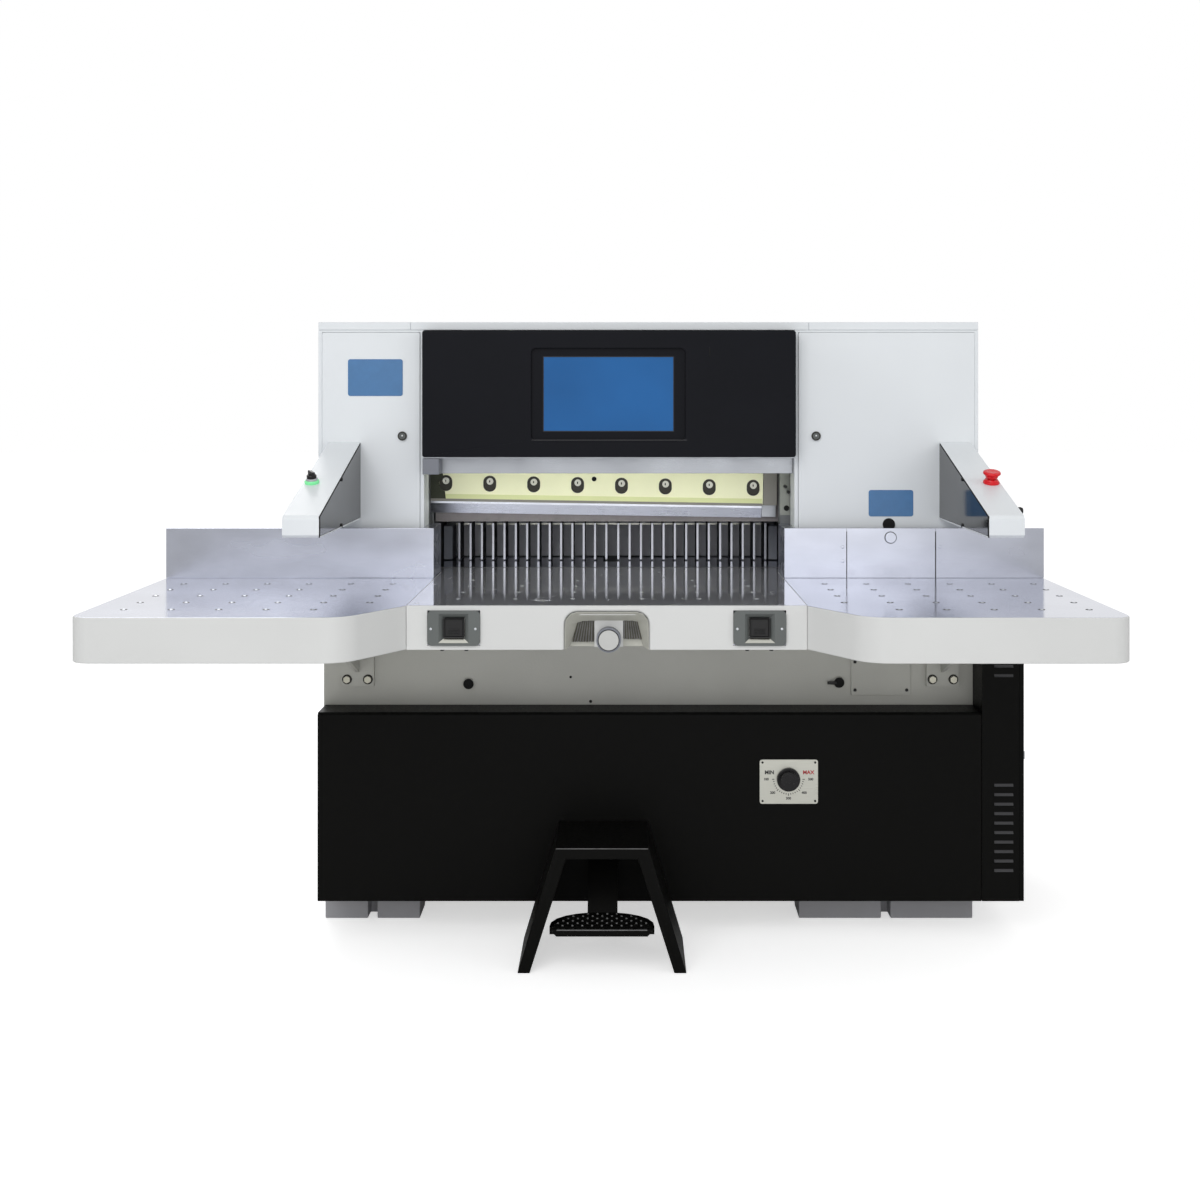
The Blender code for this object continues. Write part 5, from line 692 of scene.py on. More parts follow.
class CUTTER_OT_stage(Step, bpy.types.Operator):
    """A pale floor and backdrop, soft lamps and the camera at the photograph's place"""

    bl_idname = "cutter.stage"
    bl_label = "Stage"

    def build(self, context):
        scene = context.scene
        scene.view_settings.view_transform = "Standard"
        self.floor()
        self.lamps(scene)
        self.camera(scene)

    def floor(self):
        """One floor plate that also shows itself as almost white to the camera and in reflections."""
        deselect()
        bpy.ops.mesh.primitive_plane_add(size=60, location=(0, 0, 0))
        floor = named("studio_floor")
        made, tree, shader = new_finish("studio_paint_pale", linear_rgb("ECECEC"), {"Roughness": 0.9})
        shader.inputs["Specular IOR Level"].default_value = 0.0
        glow = add_node(tree, "Emission", {"Color": (1, 1, 1, 1), "Strength": 0.55}).outputs["Emission"]
        seen = add_node(tree, "LightPath").outputs["Is Camera Ray"]
        lit = add_node(tree, "AddShader", {0: shader.outputs["BSDF"], 1: glow}).outputs["Shader"]
        mixed = add_node(tree, "MixShader", {0: seen, 1: shader.outputs["BSDF"], 2: lit})
        tree.links.new(mixed.outputs["Shader"], tree.nodes["Material Output"].inputs["Surface"])
        floor.data.materials.append(made)

    def lamps(self, scene):
        """A plain bright room, seen as white, and four large soft lamps."""
        world = bpy.data.worlds.new("studio_room")
        world.use_nodes = True
        tree = world.node_tree
        tree.nodes.clear()
        path = add_node(tree, "LightPath")
        direct = maths(tree, "MAXIMUM", path.outputs["Is Camera Ray"], path.outputs["Is Glossy Ray"])
        shown = maths(tree, "MAXIMUM", direct, path.outputs["Is Transmission Ray"])
        level = between(tree, shown, 0.62, 1.0, 0.0, 1.0)
        room = add_node(tree, "Background", {"Color": (1, 1, 1, 1), "Strength": level})
        out = add_node(tree, "OutputWorld")
        tree.links.new(room.outputs["Background"], out.inputs["Surface"])
        scene.world = world
        lamps = (
            ("softbox_front", (-1.6, -4.6, 3.6), (0.0, -0.2, 0.8), 3.0, 79),
            ("softbox_right", (4.2, -2.6, 2.6), (0.3, 0.0, 0.8), 2.2, 19),
            ("softbox_low", (0.4, -4.4, 0.7), (0.1, -0.2, 0.5), 2.6, 20),
            ("softbox_back", (-2.5, 4.2, 3.8), (0.0, 0.2, 0.9), 2.5, 60),
        )
        for name, place, target, size, power in lamps:
            deselect()
            bpy.ops.object.light_add(type="AREA", location=place)
            lamp = named(name)
            lamp.data.size = size
            lamp.data.energy = power
            lamp.rotation_euler = (Vector(target) - Vector(place)).to_track_quat("-Z", "Y").to_euler()

    def camera(self, scene):
        """The camera stands level before the machine, with the frame shifted down as in the photograph."""
        deselect()
        bpy.ops.object.camera_add(location=CAMERA, rotation=(math.radians(90), 0, 0))
        camera = named("photo_camera")
        camera.data.sensor_fit = "HORIZONTAL"
        camera.data.sensor_width = SENSOR
        camera.data.lens = SENSOR * FOCAL_PIXELS / PHOTO_SIDE
        camera.data.shift_x = 0.5 - PHOTO_MIDDLE.x / PHOTO_SIDE
        camera.data.shift_y = PHOTO_MIDDLE.y / PHOTO_SIDE - 0.5
        scene.camera = camera


# ------------------------------------------------------------------ CAD shapes


class CUTTER_OT_bodywork(Step, bpy.types.Operator):
    """Finishes of all the CAD's pieces, with rounded edges on the sheet metal and castings"""

    bl_idname = "cutter.bodywork"
    bl_label = "Bodywork"

    def build(self, context):
        make_looks()
        edge = context.scene.cutter_sizes.edge
        for look, nodes in (
            ("base", "pedal_bracket clamp_pedal"),
            ("iron", "left_upright right_upright cross_beam knife_cylinder screw_channel backgauge_carriage"),
            ("housing", "gauge_motor drive_unit"),
            ("tank", "hydraulic_unit"),
            ("bright", "lead_screw knife_piston_rod"),
            ("knife_beam", "knife_beam"),
            ("knife", "knife"),
            ("clamp", "clamp_beam"),
            ("stick", "cutting_stick"),
            ("table", "rear_table"),
            ("brushed", "cabinet_latch"),
            ("aprons", "handwheel_recess"),
            ("screen", "display_screen"),
            ("plate", "pressure_dial_plate"),
        ):
            paint(look, *nodes.split())
        for look, width, nodes in (
            ("covers", edge, "left_tower_cover right_tower_cover rear_hood head_rear_cover top_cap"),
            ("covers", edge, "left_front_panel right_front_panel left_barrier_arm right_barrier_arm"),
            ("head", edge * 0.7, "head_panel"),
            ("base", edge, "base_front_cover electric_cabinet cabinet_door pedal_guard"),
            ("feet", edge * 1.5, "left_foot right_foot"),
            ("bed", edge, "machine_bed service_panel"),
            ("fences", edge * 0.4, "left_fence right_fence right_outer_fence"),
            ("main_table", edge * 0.6, "main_table"),
            ("brushed", edge * 0.3, "head_trim_strip"),
            ("button_plate", edge * 0.5, "left_button_plate right_button_plate"),
        ):
            for name in nodes.split():
                piece = rounded(name, look, width)
                if name in ("electric_cabinet", "cabinet_door"):
                    self.louvres(piece)
        self.comb(edge)

    def louvres(self, piece):
        """Painted highlight on the louvres' slopes that face up and forward, lighter as if lit."""
        piece.data.materials.append(LOOKS["louvre"][0])
        for face in piece.data.polygons:
            if face.normal.y < -0.3 and 0.2 < face.normal.z < 0.95 and face.area > 0.0001:
                face.material_index = 1

    def comb(self, edge):
        """The backgauge's comb: bright faces on the teeth, painted shade on their sides, and painted light on the
        web behind them.
        """
        comb = soften(node_copy("backgauge_comb"), edge * 0.3, 2)
        settled(comb, "comb", "backgauge", "backgauge_comb")
        comb.data.materials.append(LOOKS["comb_web"][0])
        comb.data.materials.append(LOOKS["comb_side"][0])
        low, high = corners("backgauge_comb")
        # Faces behind the teeth's fronts: painted shade on the sides, painted light on the rest of the web
        for face in comb.data.polygons:
            if face.center.y > low.y + 2 * MM and face.normal.z < 0.5:
                face.material_index = 2 if abs(face.normal.x) > 0.5 else 1
        web = high.y - 0.030
        fine = edge * 0.3
        # A bright strip along the web's top, a painted highlight for the comb's lit top edge
        start, end = (low.x + 0.004, web - 0.0022, 0.9895), (high.x - 0.004, web - 0.0001, 0.9945)
        block("comb_rail_highlight", start, end, fine, "plate", "backgauge")
        for side, x in (("left", low.x), ("right", high.x)):
            inward = 1 if side == "left" else -1
            span = sorted((x + inward * 0.003, x + inward * 0.0265))
            start, end = (span[0], low.y + 0.004, low.z + 0.0002), (span[1], web - 0.0001, 0.9940)
            block(side + "_comb_guide", start, end, fine, "arm_plate", "backgauge")


class CUTTER_OT_side_tables(Step, bpy.types.Operator):
    """Side tables with rounded rims in enamel, polished tops and the seats of the air valves"""

    bl_idname = "cutter.side_tables"
    bl_label = "Side tables"

    def build(self, context):
        sizes = context.scene.cutter_sizes
        pitch = sizes.air_hole_pitch
        for side, turn in (("left", -1), ("right", 1)):
            node = side + "_side_table"
            table = soften(node_copy(node), 0.0025, 3, clamp=False)
            settled(table, "aprons", node=node)
            table.data.materials.append(LOOKS["table"][0])
            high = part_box(node)[1][2]
            for face in table.data.polygons:
                if face.normal.z > 0.95 and face.center.z > high - MM:
                    face.material_index = 1
            spots = self.grid(0.517, -0.152, pitch, pitch * 1.035, 6, 5)
            places = [at(turn * x, y, 0) for x, y in spots if self.on_table(x, y)]
            self.valves(side, places, sizes.air_hole_radius, high, "washer")
        spots = self.grid(0.077, -0.080, 0.127, 0.108, 3, 4)
        places = [at(turn * x, y, 0) for turn in (-1, 1) for x, y in spots]
        self.valves("main", places, 0.0060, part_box("main_table")[1][2], "zinc")

    def grid(self, x, y, step_x, step_y, columns, rows):
        """Places in rows, outward and towards the front from the first one."""
        return [(x + step_x * column, y - step_y * row) for row in range(rows) for column in range(columns)]

    def valves(self, name, places, radius, high, look):
        """A small seat with a ball in it, at each of these places."""
        seat = rod(name + "_air_seats", radius, 0.0004, (0, 0, high - 0.0001), UP, 16)
        inset(seat, facing(UP), radius * 0.42, -0.0003)
        ball = self.ball(name + "_air_balls", radius * 0.5, high)
        for piece, finish in ((seat, look), (ball, "bright")):
            gathered(piece.name, repeated(piece, places), finish)

    def ball(self, name, radius, high):
        """A flattened ball at the table's height."""
        deselect()
        bpy.ops.mesh.primitive_uv_sphere_add(segments=10, ring_count=6, radius=radius, location=(0, 0, high))
        ball = named(name)
        ball.scale.z = 0.35
        return apply_place(ball)

    def on_table(self, x, y):
        """Whether a seat at this place, taken to the right, lies on the top, clear of its cut corner."""
        return x <= 1.045 and y >= -0.645 and (y > -0.49 or x > 0.60)


# The knife beam's place and tilt at rest, and the row of oval windows along it
BEAM_CENTRE = (-0.026, 0, 1.195)
BEAM_TILT = math.radians(0.9)
BEAM_ENDS = (-0.598, 0.398)
FIRST_WINDOW = -0.426
WINDOW_PITCH = 0.1144
WINDOW_HEIGHT = 1.117
WINDOW_HALF = (0.0171, 0.0213)
SLOT_HALF = (0.0167, 0.0208)
HEAD_RADIUS = 0.0086


class CUTTER_OT_knife_windows(Step, bpy.types.Operator):
    """Dark washers in the knife beam's oval windows, also standing for the shade in their depth, bright socket
    screws with a painted shade mark in each socket, and the lamp over the cut
    """

    bl_idname = "cutter.knife_windows"
    bl_label = "Knife windows"

    def build(self, context):
        front = corners("knife_beam")[0].y
        centre = at(*BEAM_CENTRE)
        turn = Matrix.Rotation(BEAM_TILT, 4, "Y")
        tilt = Matrix.Translation(centre) @ turn @ Matrix.Translation(-centre)
        shades, heads, marks = [], [], []
        for i in range(8):
            place = tilt @ at(FIRST_WINDOW + i * WINDOW_PITCH, 0, WINDOW_HEIGHT)
            # Dark washers, partly painted shade: they also stand for the shade deep in each window
            shade = slab(f"slot_shade_{i}", place, *SLOT_HALF, front + 0.0030, front + 0.0245)
            round_edges(shade, edges_along(FRONT), 0.0160, 6)
            inset(shade, facing(FRONT), 0.0040)
            shades.append(shade)
            place = place + Vector((0.0006, 0, 0.0060))
            head = rod(f"socket_head_{i}", HEAD_RADIUS, 0.0150, (place.x, front + 0.0150, place.z), sides=32)
            inset(head, facing(FRONT), 0.0018)
            inset(head, lambda f: f.normal.y < -0.9 and f.calc_area() > 0.0001, 0.0018, -0.0015)
            round_edges(head, lambda e: self.outer_rim(e, place, front), 0.0012, 3)
            heads.append(head)
            # Painted shade: a dark mark on each head, standing for its socket
            mark = box(
                f"socket_shade_mark_{i}",
                (place.x - 0.0024, front - 0.0002, place.z - 0.0030),
                (place.x + 0.0010, front + 0.0022, place.z + 0.0030),
            )
            marks.append(soften(mark, 0.001))
        gathered("knife_slot_shades", shades, "washer", "knife_unit")
        gathered("knife_socket_heads", heads, "plate", "knife_unit")
        gathered("knife_socket_shade_marks", marks, "washer", "knife_unit")
        # Painted shade: a black disc where the beam has a hole
        spot = tilt @ at(-0.0398, 0, 1.1336)
        hole = rod("knife_beam_hole", 0.0062, 0.0006, (spot.x, front - 0.0001, spot.z), sides=24)
        inset(hole, facing(FRONT), 0.0012, -0.0004)
        settled(hole, "hole", "knife_unit")
        self.lip(tilt, front)
        self.lamp()

    def outer_rim(self, edge, place, front):
        """Whether an edge lies on the head's front rim."""
        first, second = (v.co for v in edge.verts)
        level = first.y < min(place.y, front + 0.0065) and abs(first.y - second.y) < 0.0001
        return level and all(abs((v - place).xz.length - HEAD_RADIUS) < 0.0004 for v in (first, second))

    def lip(self, tilt, front):
        """The beam's pale lower lip and foot, a painted shadow on its left end, its end block and the knife's end.
        """
        left, right = BEAM_ENDS
        start, end = place_at(left, front - 0.0006, 1.0752), place_at(right, front + 0.002, 1.0890)
        lip = box("knife_beam_lip", start, end)
        start, end = place_at(left, front - 0.0012, 1.0700), place_at(right, front + 0.004, 1.0768)
        foot = box("knife_beam_foot", start, end)
        # Painted shadow: a dark overlay where the left column shades the beam's end
        start, end = place_at(-0.5985, front - 0.0009, 1.0752), place_at(-0.4250, front + 0.0010, 1.2280)
        shade = box("knife_beam_shadow_overlay", start, end)
        for vert in shade.data.vertices:
            if vert.co.x > start.x + 0.01 and vert.co.z > start.z + 0.01:
                vert.co.x -= 0.0200
        stub = box("knife_beam_end_block", at(0.4012, 0.1502, 1.0720), at(0.4372, 0.1720, 1.2200))
        heel = box("knife_end", at(0.4006, 0.1758, 1.0400), at(0.4372, 0.1878, 1.0710))
        for piece, look, width in (
            (lip, "beam_lip", 0.0004),
            (foot, "end_block", 0.0004),
            (shade, "beam_dark", 0),
            (stub, "end_block", 0.0012),
            (heel, "brushed", 0.0006),
        ):
            piece.data.transform(tilt)
            finished = soften(piece, width) if width else self.without_windows(piece, tilt, front)
            settled(finished, look, "knife_unit")

    def without_windows(self, piece, tilt, front):
        """Cuts the first oval window out of an overlay on the beam."""
        place = tilt @ at(FIRST_WINDOW, 0, WINDOW_HEIGHT)
        half_x, half_z = WINDOW_HALF
        tool = rod("tool", half_x, 0.02, (place.x, front + 0.01, place.z), sides=32)
        tool.scale.z = half_z / half_x
        tool.location.z = place.z * (1 - tool.scale.z)
        return carve(piece, apply_place(tool))

    def lamp(self):
        """A lamp strip behind the head's lower edge, which lights the cut, and the steel strip's grey left end."""
        low, high = corners("head_trim_strip")
        start = (low.x + 0.05, high.y + 0.0003, low.z + 0.004)
        end = (high.x - 0.05, high.y + 0.014, low.z + 0.016)
        settled(soften(box("cut_lamp", start, end), 0.003, 3), "lamp")
        start = (low.x + 0.0002, low.y - 0.0016, low.z + 0.0004)
        end = (low.x + 0.0408, high.y - 0.013, high.z - 0.0038)
        block("strip_corner", start, end, 0.0012, "arm_plate")


# The arms' sloping top, from its nose's height over the length it rises, and the controls' place on it
ARM_NOSE = 1.0895
ARM_LENGTH = 0.490
ARM_RISE = 0.145
CONTROL_Y = -0.286


class CUTTER_OT_arms(Step, bpy.types.Operator):
    """The light barrier's dark windows with their screws, the gland, the emergency stop and the selector"""

    bl_idname = "cutter.arms"
    bl_label = "Light barrier arms"

    def build(self, context):
        for side, inward in (("left", 1), ("right", -1)):
            self.window(side, inward)
        self.stop()
        self.selector()

    def window(self, side, inward):
        """A dark window over a gasket on the arm's inner face, its rim and screws, and the right gland."""
        low, high = corners(side + "_barrier_arm")
        face = high.x if inward > 0 else low.x
        start, rear = low.y, high.y - 0.0015
        sheets = (("gasket", "hole", 0.0003, 0.0004), ("plate", "window", 0.0008, 0.0042))
        for name, look, out, margin in sheets:
            nose = start + margin * 2.6
            top = [ARM_NOSE + ARM_RISE / ARM_LENGTH * (y - start) - margin for y in (nose, rear)]
            pane = self.pane(f"{side}_arm_{name}", face, inward, out, nose, rear, low.z + margin, top)
            settled(pane, look)
        sides = sorted((face - inward * 0.0004, face + inward * 0.0022))
        rim_low, rim_high = (sides[0], start + 0.010, low.z + 0.0006), (sides[1], rear, low.z + 0.0034)
        block(side + "_arm_rim", rim_low, rim_high, 0.0006, "covers")
        places = [(face + inward * 0.0009, at(0, -0.2468, 0).y, z) for z in (1.1562, 1.0484)]
        screws(side + "_arm_screws", places, (inward, 0, 0), 0.0050, "black_screw")
        if side == "right":
            gland = rod("arm_gland", 0.0095, 0.009, (high.x + 0.0002, low.y + 0.063, 1.0970), (1, 0, 0), 6)
            cap = rod("arm_gland_cap", 0.0070, 0.004, (high.x + 0.0085, low.y + 0.063, 1.0970), (1, 0, 0), 24)
            settled(soften(joined("right_arm_gland", [gland, cap]), 0.0012), "black_screw")

    def pane(self, name, face, inward, out, nose, rear, foot, heights):
        """A flat sheet standing out from a face along X, its top edge rising from the nose to the rear."""
        sides = sorted((face - inward * 0.0004, face + inward * out))
        piece = box(name, (sides[0], nose, foot), (sides[1], rear, max(heights) + 0.001))
        with editing(piece):
            bpy.ops.mesh.bisect(
                plane_co=(face, nose, heights[0]), plane_no=(0, heights[0] - heights[1], rear - nose),
                clear_outer=True, use_fill=True,
            )
        return piece

    def turned(self, name, profile, place, normal):
        """A profile of (radius, height) pairs spun about the control's axis."""
        deselect()
        bpy.ops.mesh.primitive_plane_add(size=1)
        piece = named(name)
        bm = bmesh.new()
        points = [bm.verts.new((radius, 0, height)) for radius, height in profile]
        for first, second in zip(points, points[1:]):
            bm.edges.new((first, second))
        bm.to_mesh(piece.data)
        bm.free()
        with editing(piece):
            bpy.ops.mesh.spin(steps=ROUND, angle=math.tau, center=(0, 0, 0), axis=UP)
            bpy.ops.mesh.select_all(action="SELECT")
            bpy.ops.mesh.remove_doubles(threshold=MERGE)
            bpy.ops.mesh.normals_make_consistent(inside=False)
        piece.rotation_euler = Vector(UP).rotation_difference(normal).to_euler()
        piece.location = place
        return apply_place(piece)

    def on_arm(self, x):
        """The control's place on the arm's top at x, and the direction that it stands up in."""
        slope = ARM_RISE / ARM_LENGTH
        place = at(x, CONTROL_Y, ARM_NOSE + (ARM_LENGTH + CONTROL_Y) * slope)
        return place, Vector((0, -slope, 1)).normalized()

    def stop(self):
        """A round mushroom head with a waist and a raised ring, standing for the CAD's plain one."""
        place, normal = self.on_arm(0.882)
        profile = [
            (0.0, -0.0235), (0.0088, -0.0235), (0.0088, 0.0141), (0.0136, 0.0142),
            (0.0146, 0.0165), (0.0154, 0.0195), (0.0188, 0.0215), (0.0200, 0.0230), (0.0200, 0.0252),
            (0.0190, 0.0272), (0.0165, 0.0284), (0.0130, 0.0286), (0.0060, 0.0278), (0.0, 0.0276),
        ]
        cap = self.turned("stop_mushroom", profile, place, normal)
        settled(cap, "stop", "stop", "emergency_stop")
        collar = [
            (0.0163, 0.0003), (0.0188, 0.0003), (0.0186, 0.0036),
            (0.0176, 0.0048), (0.0163, 0.0048), (0.0163, 0.0003),
        ]
        settled(self.turned("stop_collar", collar, place, normal), "stop")
        shell = bpy.data.objects["right_barrier_arm_shell"]
        shell.data.materials.append(LOOKS["stop"][0])
        for face in shell.data.polygons:
            off = face.center - place
            high = off.dot(normal)
            if high > 0.0005 and (off - high * normal).length < 0.0175:
                face.material_index = 1

    def selector(self):
        """The selector's dark grip with its white pointer, and its lit ring."""
        place, normal = self.on_arm(-0.681)
        profile = [
            (0.0095, -0.0240), (0.0112, -0.0240), (0.0112, 0.0004), (0.0164, 0.0004), (0.0168, 0.0020),
            (0.0166, 0.0060), (0.0152, 0.0076), (0.0130, 0.0078), (0.0095, 0.0078), (0.0095, -0.0240),
        ]
        settled(self.turned("selector_lens", profile, place, normal), "ring", node="selector_ring")
        body = [
            (0.0, -0.0240), (0.0088, -0.0240), (0.0088, 0.0125), (0.0112, 0.0126), (0.0114, 0.0140),
            (0.0112, 0.0188), (0.0100, 0.0203), (0.0, 0.0203),
        ]
        knob = self.turned("selector_body", body, place, normal)
        collar = [
            (0.0094, 0.0060), (0.0140, 0.0078), (0.0138, 0.0112),
            (0.0122, 0.0124), (0.0094, 0.0124), (0.0094, 0.0060),
        ]
        settled(self.turned("selector_collar", collar, place, normal), "zinc")
        grip = box("selector_grip", (-0.0036, -0.0108, 0.0160), (0.0036, 0.0108, 0.0288))
        round_edges(grip, edges_along(FRONT), 0.0014, 3)
        pointer = box("selector_pointer", (-0.0007, 0.002, 0.0286), (0.0007, 0.0096, 0.0291))
        for piece in (grip, pointer):
            turn = Euler((0, 0, math.radians(38))).to_quaternion()
            piece.rotation_euler = (Vector(UP).rotation_difference(normal) @ turn).to_euler()
            piece.location = place
            apply_place(piece)
        gathered("selector_knob", [knob, grip], "black_knob", "selector", "mode_selector")
        settled(soften(pointer, 0.0002), "ink_white", "selector")


def middle_face(radius, direction=FRONT):
    """A test for the face around the axis, at most radius across, that looks along direction."""
    along = Vector(direction)

    def test(face):
        across = face.calc_center_median()
        across -= along * across.dot(along)
        central = across.length < radius * 0.1 and face.calc_area() < math.pi * radius**2
        return central and face.normal.dot(along) > PARALLEL

    return test


def screw(name, place, direction, radius):
    """A low pan head screw with a round socket, seated at place and facing along direction."""
    height = radius * 0.55
    head = rod(name, radius, height, (0, 0, 0), UP, 18)
    round_edges(head, edges_above(height * 0.9), radius * 0.25, 3)
    inset(head, middle_face(radius, UP), radius * 0.28)
    inset(head, middle_face(radius * 0.6, UP), 0.0, -height * 0.6)
    head.rotation_euler = Vector(UP).rotation_difference(Vector(direction)).to_euler()
    head.location = place
    return apply_place(head)


def screws(name, places, direction, radius, look):
    """A set of like screws as one piece."""
    made = [screw(name, place, direction, radius) for place in places]
    return gathered(name, made, look)


def corner_places(low, high, in_x, in_z):
    """Four places on the front of a box, set in from its corners."""
    return [(x, low.y, z) for x in (low.x + in_x, high.x - in_x) for z in (low.z + in_z, high.z - in_z)]


class CUTTER_OT_plates(Step, bpy.types.Operator):
    """The two blank blue plates, the covers' round plugs and holes, and the locks"""

    bl_idname = "cutter.plates"
    bl_label = "Plates and plugs"

    def build(self, context):
        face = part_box("left_front_panel")[0][1]
        for name, left, right, low, high in (
            ("left_blank_plate", -0.653, -0.516, 1.350, 1.442),
            ("right_blank_plate", 0.6485, 0.760, 1.049, 1.115),
        ):
            plate = box(name, place_at(left, face - 0.0009, low), place_at(right, face - 0.0001, high))
            round_edges(plate, edges_along(FRONT), 0.006, 6)
            inset(plate, facing(FRONT), 0.0016)
            inset(plate, lambda f: f.normal.y < -0.9 and f.calc_area() > 0.004, 0.0, 0.0002)
            settled(plate, "labels")
        # Painted shade: a black ring and disc where the cover has a round hole
        rim = rod("cover_hole_rim", 0.0155, 0.0016, place_at(0.699, face - 0.0001, 1.029))
        inset(rim, facing(FRONT), 0.0022)
        inset(rim, middle_face(0.0140), 0.0, -0.0012)
        settled(rim, "hole")
        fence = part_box("right_outer_fence")[0][1]
        spot = place_at(0.696, fence - 0.0001, 1.000)
        plug = rod("fence_plug", 0.0136, 0.0030, spot)
        round_edges(plug, edges_before(fence - 0.0025), 0.0012, 3)
        inset(plug, middle_face(0.0136), 0.0006, -0.0006)
        settled(plug, "fences")
        seams = []
        for px in (846.8, 935.8):
            x = from_photo(px, 0, fence).x
            start, end = (x - 0.0009, fence - 0.0002, 0.9005), (x + 0.0009, fence + 0.0002, 1.0150)
            seams.append(box("seam", start, end))
        gathered("fence_seams", seams, "washer", smooth=False)
        ring = rod("fence_plug_seat", 0.0150, 0.0006, spot)
        inset(ring, facing(FRONT), 0.0010, -0.0003)
        settled(ring, "button_plate")
        for side, turn in (("left", -1), ("right", 1)):
            place = place_at(turn * 0.517, face - 0.0003, 1.250)
            lock = rod(side + "_lock_face", 0.0115, 0.0040, place)
            front = place.y - 0.0035
            round_edges(lock, edges_before(front), 0.0012, 3)
            inset(lock, middle_face(0.0115), 0.0030)
            inset(lock, middle_face(0.0086), 0.0, -0.0008)
            slot = slab("slot", place, 0.0016, 0.0075, place.y - 0.006, place.y - 0.0016)
            carve(lock, slot)
            stem = node_copy(side + "_panel_lock", side + "_stem")
            with picked(stem, "VERT", lambda v: v.co.y < place.y + 0.0001):
                bpy.ops.mesh.delete(type="VERT")
            gathered(side + "_lock_knob", [lock, stem], "button_plate", side + "_lock", side + "_panel_lock")
            dot = rod(side + "_lock_dot", 0.0022, 0.0008, (place.x, place.y - 0.0034, place.z + 0.0010))
            settled(soften(dot, 0.0003), "ink_white", side + "_lock")
            ring = rod(side + "_lock_ring", 0.0112, 0.0012, (place.x, place.y - 0.0036, place.z))
            hollow = rod("hollow", 0.0080, 0.0050, (place.x, place.y - 0.0020, place.z))
            settled(carve(ring, hollow), "washer", side + "_lock")


# The pressure dial's centre, and how far from it the ticks start and the numbers stand
DIAL_CENTRE = (0.4464, 0, 0.3956)
TICKS_FROM = 0.0350
NUMBERS_FROM = (0.0555, 0.0475)


class CUTTER_OT_dial(Step, bpy.types.Operator):
    """The pressure dial's ticks, numbers and words, its plate's screws, and a fluted knob"""

    bl_idname = "cutter.dial"
    bl_label = "Pressure dial"

    def build(self, context):
        low, high = corners("pressure_dial_plate")
        self.face = low.y
        self.centre = at(*DIAL_CENTRE)
        self.ticks(context.scene.cutter_sizes.tick_length)
        self.words()
        places = corner_places(low, high, 0.007, 0.007)
        screws("dial_plate_screws", places, FRONT, 0.0028, "black_screw")
        self.knob()

    def ticks(self, length):
        """Ticks round the lower arc, with a longer one at each number."""
        found = []
        for i in range(21):
            angle = math.radians(180 + i * 9)
            reach = length if i % 5 == 0 else length * 0.6
            end = (TICKS_FROM + reach, self.face - 0.00005, 0.0009)
            tick = box(f"tick_{i}", (TICKS_FROM, self.face - 0.0003, -0.0009), end)
            tick.rotation_euler = (0, -angle, 0)
            tick.location = (self.centre.x, 0, self.centre.z)
            found.append(apply_place(tick))
        gathered("dial_ticks", found, "ink_black", smooth=False)

    def text(self, name, body, x, z, size, look):
        """A word or number printed on the plate, this far from the dial's centre."""
        deselect()
        bpy.ops.object.text_add(location=(0, 0, 0), rotation=(math.radians(90), 0, 0))
        piece = named(name)
        piece.data.body = body
        piece.data.size = size
        piece.data.align_x = piece.data.align_y = "CENTER"
        piece.data.extrude = 0.00012
        piece.data.offset = size * 0.038
        piece.data.resolution_u = 4
        activate(piece)
        bpy.ops.object.convert(target="MESH")
        piece = bpy.context.object
        piece.location = (self.centre.x + x, self.face - 0.00018, self.centre.z + z)
        return settled(apply_place(piece), look, smooth=False)

    def words(self):
        """The two words over the dial, and the numbers round its lower arc."""
        self.text("dial_word_min", "MIN", -0.0474, 0.0168, 0.0130, "ink_black")
        self.text("dial_word_max", "MAX", 0.0500, 0.0168, 0.0130, "ink_red")
        numbers = []
        for i, value in enumerate(("100", "200", "300", "400", "500")):
            angle = math.radians(180 + i * 45)
            x, z = NUMBERS_FROM[0] * math.cos(angle), NUMBERS_FROM[1] * math.sin(angle)
            numbers.append(self.text("dial_number_" + value, value, x, z, 0.0086, "ink_black"))
        gathered("dial_numbers", numbers, "ink_black", smooth=False)

    def knob(self):
        """A skirted knob with flutes and a pointer."""
        face = self.face
        x, z = self.centre.xz
        skirt = rod("dial_skirt", 0.029, 0.0080, (x, face - 0.0003, z))
        round_edges(skirt, edges_before(face - 0.0078), 0.0020, 3)
        grip = rod("dial_grip", 0.0225, 0.0170, (x, face - 0.0075, z))
        with picked(grip, "FACE", lambda f: abs(f.normal.y) < 0.1 and f.index % 3 == 0):
            bpy.ops.mesh.inset(thickness=0.0003, depth=-0.0010, use_individual=True)
        inset(grip, middle_face(0.0230), 0.0025)
        inset(grip, middle_face(0.0205), 0.0, -0.0008)
        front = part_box("pressure_dial")[0][1]
        pointer = rod("dial_pointer", 0.0017, 0.0012, (x + 0.0110, front + 0.0011, z - 0.0110), sides=16)
        stem = rod("dial_shaft", 0.0040, 0.0110, (x, face + 0.0105, z), sides=24)
        gathered("dial_knob", [skirt, grip, stem], "black_knob", "dial", "pressure_dial")
        settled(pointer, "ink_white", "dial")


